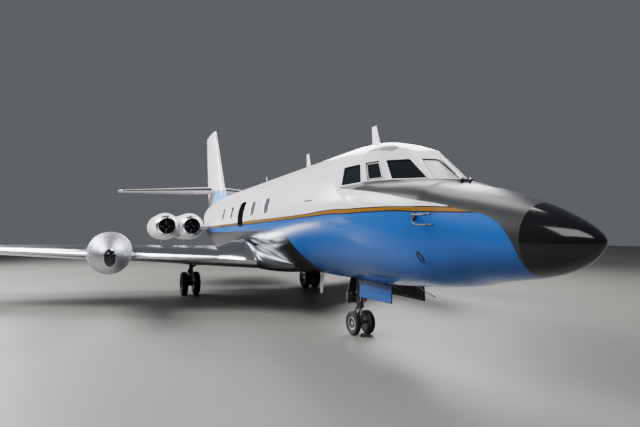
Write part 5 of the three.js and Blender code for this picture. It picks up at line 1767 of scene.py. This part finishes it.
def make_nose_fittings():
    """Pitot heads with the static ports, wipers, grab handles and the mast under the keel."""
    metal = []
    for _, side in SIDES:
        base = skin_point(1.602, 1.896, side)
        out = Vector((0, side, 0))
        metal.append(faced(rod(base - out * 0.02, base + out * 0.008, 0.045, sides=24), INNER))
        for rise, tip_s, z in ((-1, 1.155, 1.79), (1, 1.19, 1.9)):
            start = base + Vector((0, 0, rise * 0.02))
            nose = at(tip_s, start.y + side * 0.115, z)
            path = bent([start, at(1.5, start.y + side * 0.1, (start.z + z) / 2),
                at(1.41, nose.y, z), nose])
            metal.append(tube(path, 0.011, 10))
            metal.append(faced(rod(nose + Vector((-0.09, 0, 0)), nose + Vector((0.012, 0, 0)),
                0.0135, 0.009, sides=14, bevel=0.001), INNER))
        port = [skin_point(1.556 + 0.026 * cos(a) + 0.02 * sin(a), 1.443 + 0.06 * sin(a), side,
            0.001) for a in steps(0, tau, 24)[:-1]]
        ring = loop_frame(port, Vector((0, side, 0)),
            ((-0.012, -0.004), (-0.012, 0.004), (0.004, 0.005), (0.008, -0.004)))
        metal.append(faced(ring, INNER))
    piece("pitot_heads", metal, ["enamelled_steel", "dark_primer_and_shade"])
    wipers = []
    for side, arm, blade in WIPERS:
        normal, _ = facet_frame(PANES["windscreen"], side)
        foot = on_windscreen(side, 1.6, 0.06)
        wipers.append(faced(rod(foot - normal * 0.03, foot + normal * 0.045, 0.022, 0.016,
            sides=16), INNER))
        path = [on_windscreen(side, s, y, lift) for s, y, lift in arm]
        wipers.append(tube(bent(path, 2), 0.008, 8))
        low, high = (on_windscreen(side, s, y, 0.014) for s, y in blade)
        wipers.append(faced(rod(low, high, 0.007, sides=8, bevel=0.0), INNER))
    piece("wipers", wipers, ["anodised_alloy", "seal_rubber"])
    handles = []
    for _, side in SIDES:
        path = [skin_point(s, 2.23 + 0.004 * k, side, 0.012 if 0 < k < 3 else -0.002)
            for k, s in enumerate((3.73, 3.76, 4.01, 4.045))]
        handles.append(tube(bent(path, 2), 0.009, 8))
    piece("grab_handles", handles, "enamelled_steel")
    mast = bent([at(2.52, 0, 0.985), at(2.44, 0, 0.94), at(2.3, 0, 0.9), at(2.18, 0, 0.872)])
    piece("keel_mast", tube(mast, 0.009, 8), "chromed_steel")


ROOF_PLATE = ((2.786, -0.63, 2.848), (2.705, -0.421, 2.933), (2.591, -0.323, 2.929),
              (2.452, -0.337, 2.869), (2.5, -0.44, 2.823))


def make_roof_plate():
    """A grey plate laid on the skin of the cockpit roof."""
    mesh = bpy.data.objects["cockpit_skin"].data
    skin = BVHTree.FromPolygons([v.co for v in mesh.vertices], [p.vertices for p in mesh.polygons])
    corners = [at(*corner) for corner in ROOF_PLATE]
    loop = rounded_loop(corners, 0.02)
    middle = sum(loop, Vector()) / len(loop)
    out = (corners[0] - corners[2]).cross(corners[1] - corners[3]).normalized()
    out = out if out.z > 0 else -out

    def place(u, v):
        k = v * len(loop)
        a, b = loop[int(k) % len(loop)], loop[(int(k) + 1) % len(loop)]
        spot = middle.lerp(a.lerp(b, k - int(k)), 1 - u)
        return skin.ray_cast(spot + out * 0.2, -out)[0] + out * 0.005

    bm = patch(place, 24, 2 * len(loop), ends=False)
    bm = thickened(turned_towards(bm, Vector((0, 0, 1))), 0.006)
    piece("roof_plate", bm, "grey_primer", sharp=40)


# The polished swelling at the wing's root: it fairs into the wing between its rim and its end
BULGE = {"start": 0.9, "rim": 1.1, "end": 1.95, "peak": 0.9, "tail": 1.5, "reach": 0.22,
         "rise": 0.22, "foot": 1.16, "seal": 0.2, "lean": 0.5}


def bulge_point(side, y, turn, lift=0.0):
    """A point of a root bulge; turn runs from its front over its top."""
    lead, chord, z, thick = section(WING, y)
    if y < BULGE["rim"]:
        share = (BULGE["rim"] - y) / (BULGE["rim"] - BULGE["start"])
        swell = sqrt(max(1 - share * share, 0))
    else:
        share = (y - BULGE["rim"]) / (BULGE["end"] - BULGE["rim"])
        swell = cos(pi * share / 2) ** 2
    reach = BULGE["peak"] - 0.03 + BULGE["reach"] * swell + lift
    if cos(turn) < 0:
        reach = BULGE["tail"]
    high = 0.45 * thick * chord + BULGE["rise"] * swell + lift
    # The more it swells, the straighter its front slopes up
    ahead, up = (copysign(abs(part) ** (1 + BULGE["lean"] * swell), part)
        for part in (cos(turn), sin(turn)))
    return at(lead + BULGE["peak"] - reach * ahead, side * y, z + high * up)


def make_wing_fittings():
    """Root bulges with their dark seals, tip lamps and static wicks."""
    rim = BULGE["rim"]
    for hand, side in SIDES:
        spans = [rim - (rim - BULGE["start"]) * cos(a) for a in steps(0, pi / 2, 8)]
        spans += steps(rim, BULGE["end"], 40)[1:]
        dome = kept_above(lofted([[bulge_point(side, y, tau * k / 72) for k in range(72)]
            for y in spans]), BULGE["foot"])

        def place(u, v):
            width = BULGE["seal"] * (1 - u) ** 0.7
            return bulge_point(side, rim + width * v, 0.1 + 1.2 * u, 0.006)

        seal = outward(thickened(merged(patch(place, 24, 6, closed=False), 1e-4), 0.005))
        bead = tube([bulge_point(side, rim, turn) for turn in steps(0.1, pi / 2, 18)], 0.014, 8)
        piece(f"wing_root_bulge_{hand}", [dome, faced(seal, INNER), bead],
            ["polished_aluminium", "seal_rubber"])
    for hand, side in SIDES:
        lead, _, z, _ = section(WING, 8.2)
        lamp = rod(at(lead - 0.02, side * 8.16, z), at(lead + 0.14, side * 8.18, z), 0.022, 0.026,
            sides=16, bevel=0.01)
        piece(f"wing_tip_lamp_{hand}", lamp, "red_lens" if side > 0 else "green_lens")
        wicks = []
        for y in (7.2, 7.6, 7.9):
            lead, chord, z, _ = section(WING, y)
            wicks.append(rod(at(lead + chord - 0.01, side * y, z),
                at(lead + chord + 0.14, side * y, z), 0.004, 0.0025, sides=8, bevel=0.0))
        piece(f"static_wicks_{hand}", wicks, "seal_rubber",
            body=f"aileron_{hand}_body")


# Stage and camera


LAMPS = (
    ("key", (0.5, -12, 12), (1.5, 0, 1.8), 8, 4600),
    ("front", (14, -5, 9), (4, 0, 1.6), 6, 600),
    ("rear", (-13, -13, 11), (-6, 0, 2), 8, 6500),
    ("over", (-4, 7, 11.5), (4, -1, 2.2), 10, 4500),
    ("top", (5.5, 1.5, 12), (5.5, 1.5, 0), 4, 420),
)
CAMERA = {"place": (11.4297, -3.7688, 1.6903), "yaw": 2.6962038, "pitch": 0.0508255,
          "roll": -0.0040714, "lens": 23.849}


def make_stage(stage):
    bm = bmesh.new()
    bmesh.ops.create_grid(bm, x_segments=1, y_segments=1, size=60)
    mesh = mesh_of("floor", bm)
    # Power-floated sealed concrete: pale, with a wide soft reflection
    tree, shader, coords, *_ = new_material("sealed_concrete")
    patches = add(tree, "TexNoise", {"Vector": coords, "Scale": per_mm(2800), "Detail": 5.0})
    base = add(tree, "Mix", {0: patches, 6: stage.floor, 7: linear("#6f6d69")}, **BLEND)
    dress(shader, base, add(tree, "MapRange", {0: patches, 3: 0.4, 4: 0.55}))
    mesh.materials.append(MATERIALS["sealed_concrete"])
    linked("floor", mesh)
    world = bpy.context.scene.world or bpy.data.worlds.new("studio")
    bpy.context.scene.world = world
    world.use_nodes = True
    background = world.node_tree.nodes["Background"]
    background.inputs["Color"].default_value = linear("#c9ced6")
    background.inputs["Strength"].default_value = stage.fill
    for name, where, towards, size, power in LAMPS:
        lamp = bpy.data.lights.new(name, "AREA")
        lamp.shape = "SQUARE"
        lamp.size = size
        lamp.energy = power * stage.power
        obj = linked(name, lamp)
        obj.location = where
        obj.rotation_euler = (Vector(towards) - Vector(where)).to_track_quat("-Z", "Y").to_euler()


def make_camera():
    lens = bpy.data.cameras.new("camera")
    lens.lens = CAMERA["lens"]
    lens.sensor_width = 36
    lens.sensor_fit = "HORIZONTAL"
    lens.clip_end = 300
    yaw, pitch, roll = CAMERA["yaw"], CAMERA["pitch"], CAMERA["roll"]
    ahead = Vector((cos(pitch) * cos(yaw), cos(pitch) * sin(yaw), sin(pitch)))
    level = ahead.cross(Vector((0, 0, 1))).normalized()
    upright = level.cross(ahead)
    right = level * cos(roll) + upright * sin(roll)
    up = upright * cos(roll) - level * sin(roll)
    turn = Matrix((right, up, -ahead)).transposed().to_4x4()
    camera = linked("camera", lens)
    camera.matrix_world = Matrix.Translation(CAMERA["place"]) @ turn
    bpy.context.scene.camera = camera


# Operators, in the order that they run


class JET_OT_finishes(bpy.types.Operator):
    """Mix the paints, metals, rubbers, glazing and cloths"""
    bl_idname = "jet.finishes"
    bl_label = "Finishes"

    def execute(self, context):
        make_materials(context.scene.jet_colours, context.scene.jet_sizes)
        return {"FINISHED"}


class JET_OT_fuselage(bpy.types.Operator):
    """Skin the fuselage from radome to tail cone, with the entry door"""
    bl_idname = "jet.fuselage"
    bl_label = "Fuselage"

    def execute(self, context):
        make_fuselage(context.scene.jet_sizes.hull_sides)
        return {"FINISHED"}


class JET_OT_glazing(bpy.types.Operator):
    """Glaze the cockpit and cabin windows, with frames, seals and blinds"""
    bl_idname = "jet.glazing"
    bl_label = "Glazing"

    def execute(self, context):
        make_glazing(context.scene.jet_sizes.frame_width)
        return {"FINISHED"}


class JET_OT_cabin(bpy.types.Operator):
    """Fit out the cockpit and cabin with panels, floors and padded seats"""
    bl_idname = "jet.cabin"
    bl_label = "Cockpit and cabin"

    def execute(self, context):
        make_cockpit()
        make_cabin()
        return {"FINISHED"}


class JET_OT_wings(bpy.types.Operator):
    """Skin the wings, flaps and ailerons, the tanks and the belly fairing"""
    bl_idname = "jet.wings"
    bl_label = "Wings and tanks"

    def execute(self, context):
        make_wings()
        make_tanks()
        make_fairing()
        return {"FINISHED"}


class JET_OT_tail(bpy.types.Operator):
    """Skin the fin, tailplane, rudder and elevators, with their boots"""
    bl_idname = "jet.tail"
    bl_label = "Tail"

    def execute(self, context):
        make_tail(context.scene.jet_sizes.boot_share)
        return {"FINISHED"}


class JET_OT_pods(bpy.types.Operator):
    """Build the twin engine pods with their lips, cores and pylons"""
    bl_idname = "jet.pods"
    bl_label = "Engine pods"

    def execute(self, context):
        make_pods()
        return {"FINISHED"}


class JET_OT_legs(bpy.types.Operator):
    """Build the gear legs, the nose fork and the nose gear doors"""
    bl_idname = "jet.legs"
    bl_label = "Gear legs and doors"

    def execute(self, context):
        make_nose_leg()
        make_nose_doors()
        make_main_legs()
        return {"FINISHED"}


class JET_OT_wheels(bpy.types.Operator):
    """Build the hubs and tyres"""
    bl_idname = "jet.wheels"
    bl_label = "Wheels"

    def execute(self, context):
        make_wheels(context.scene.jet_sizes.groove_depth)
        return {"FINISHED"}


class JET_OT_fittings(bpy.types.Operator):
    """Add the aerials, pitot heads, wipers, lamps, handles and root bulges"""
    bl_idname = "jet.fittings"
    bl_label = "Fittings"

    def execute(self, context):
        make_aerials(context.scene.jet_sizes.aerial_height)
        make_nose_fittings()
        make_roof_plate()
        make_wing_fittings()
        return {"FINISHED"}


class JET_OT_stage(bpy.types.Operator):
    """Lay the pale floor, hang the soft lamps and set the camera"""
    bl_idname = "jet.stage"
    bl_label = "Stage"

    def execute(self, context):
        make_stage(context.scene.jet_stage)
        make_camera()
        return {"FINISHED"}


GROUPS = (("jet_sizes", JetSizes), ("jet_colours", JetColours), ("jet_stage", JetStage))
OPERATORS = (JET_OT_finishes, JET_OT_fuselage, JET_OT_glazing, JET_OT_cabin, JET_OT_wings,
             JET_OT_tail, JET_OT_pods, JET_OT_legs, JET_OT_wheels, JET_OT_fittings, JET_OT_stage)


class JET_PT_panel(bpy.types.Panel):
    bl_label = "Business jet"
    bl_space_type = "VIEW_3D"
    bl_region_type = "UI"
    bl_category = "Jet"

    def draw(self, context):
        for name, group in GROUPS:
            box = self.layout.box()
            for prop in group.__annotations__:
                box.prop(getattr(context.scene, name), prop)
        for operator in OPERATORS:
            self.layout.operator(operator.bl_idname)


def register():
    for name, group in GROUPS:
        bpy.utils.register_class(group)
        setattr(bpy.types.Scene, name, bpy.props.PointerProperty(type=group))
    for item in (*OPERATORS, JET_PT_panel):
        bpy.utils.register_class(item)


def unregister():
    for item in (JET_PT_panel, *reversed(OPERATORS)):
        bpy.utils.unregister_class(item)
    for name, group in reversed(GROUPS):
        delattr(bpy.types.Scene, name)
        bpy.utils.unregister_class(group)


def main():
    register()
    for operator in OPERATORS:
        area, name = operator.bl_idname.split(".")
        getattr(getattr(bpy.ops, area), name)()


if __name__ == "__main__":
    main()
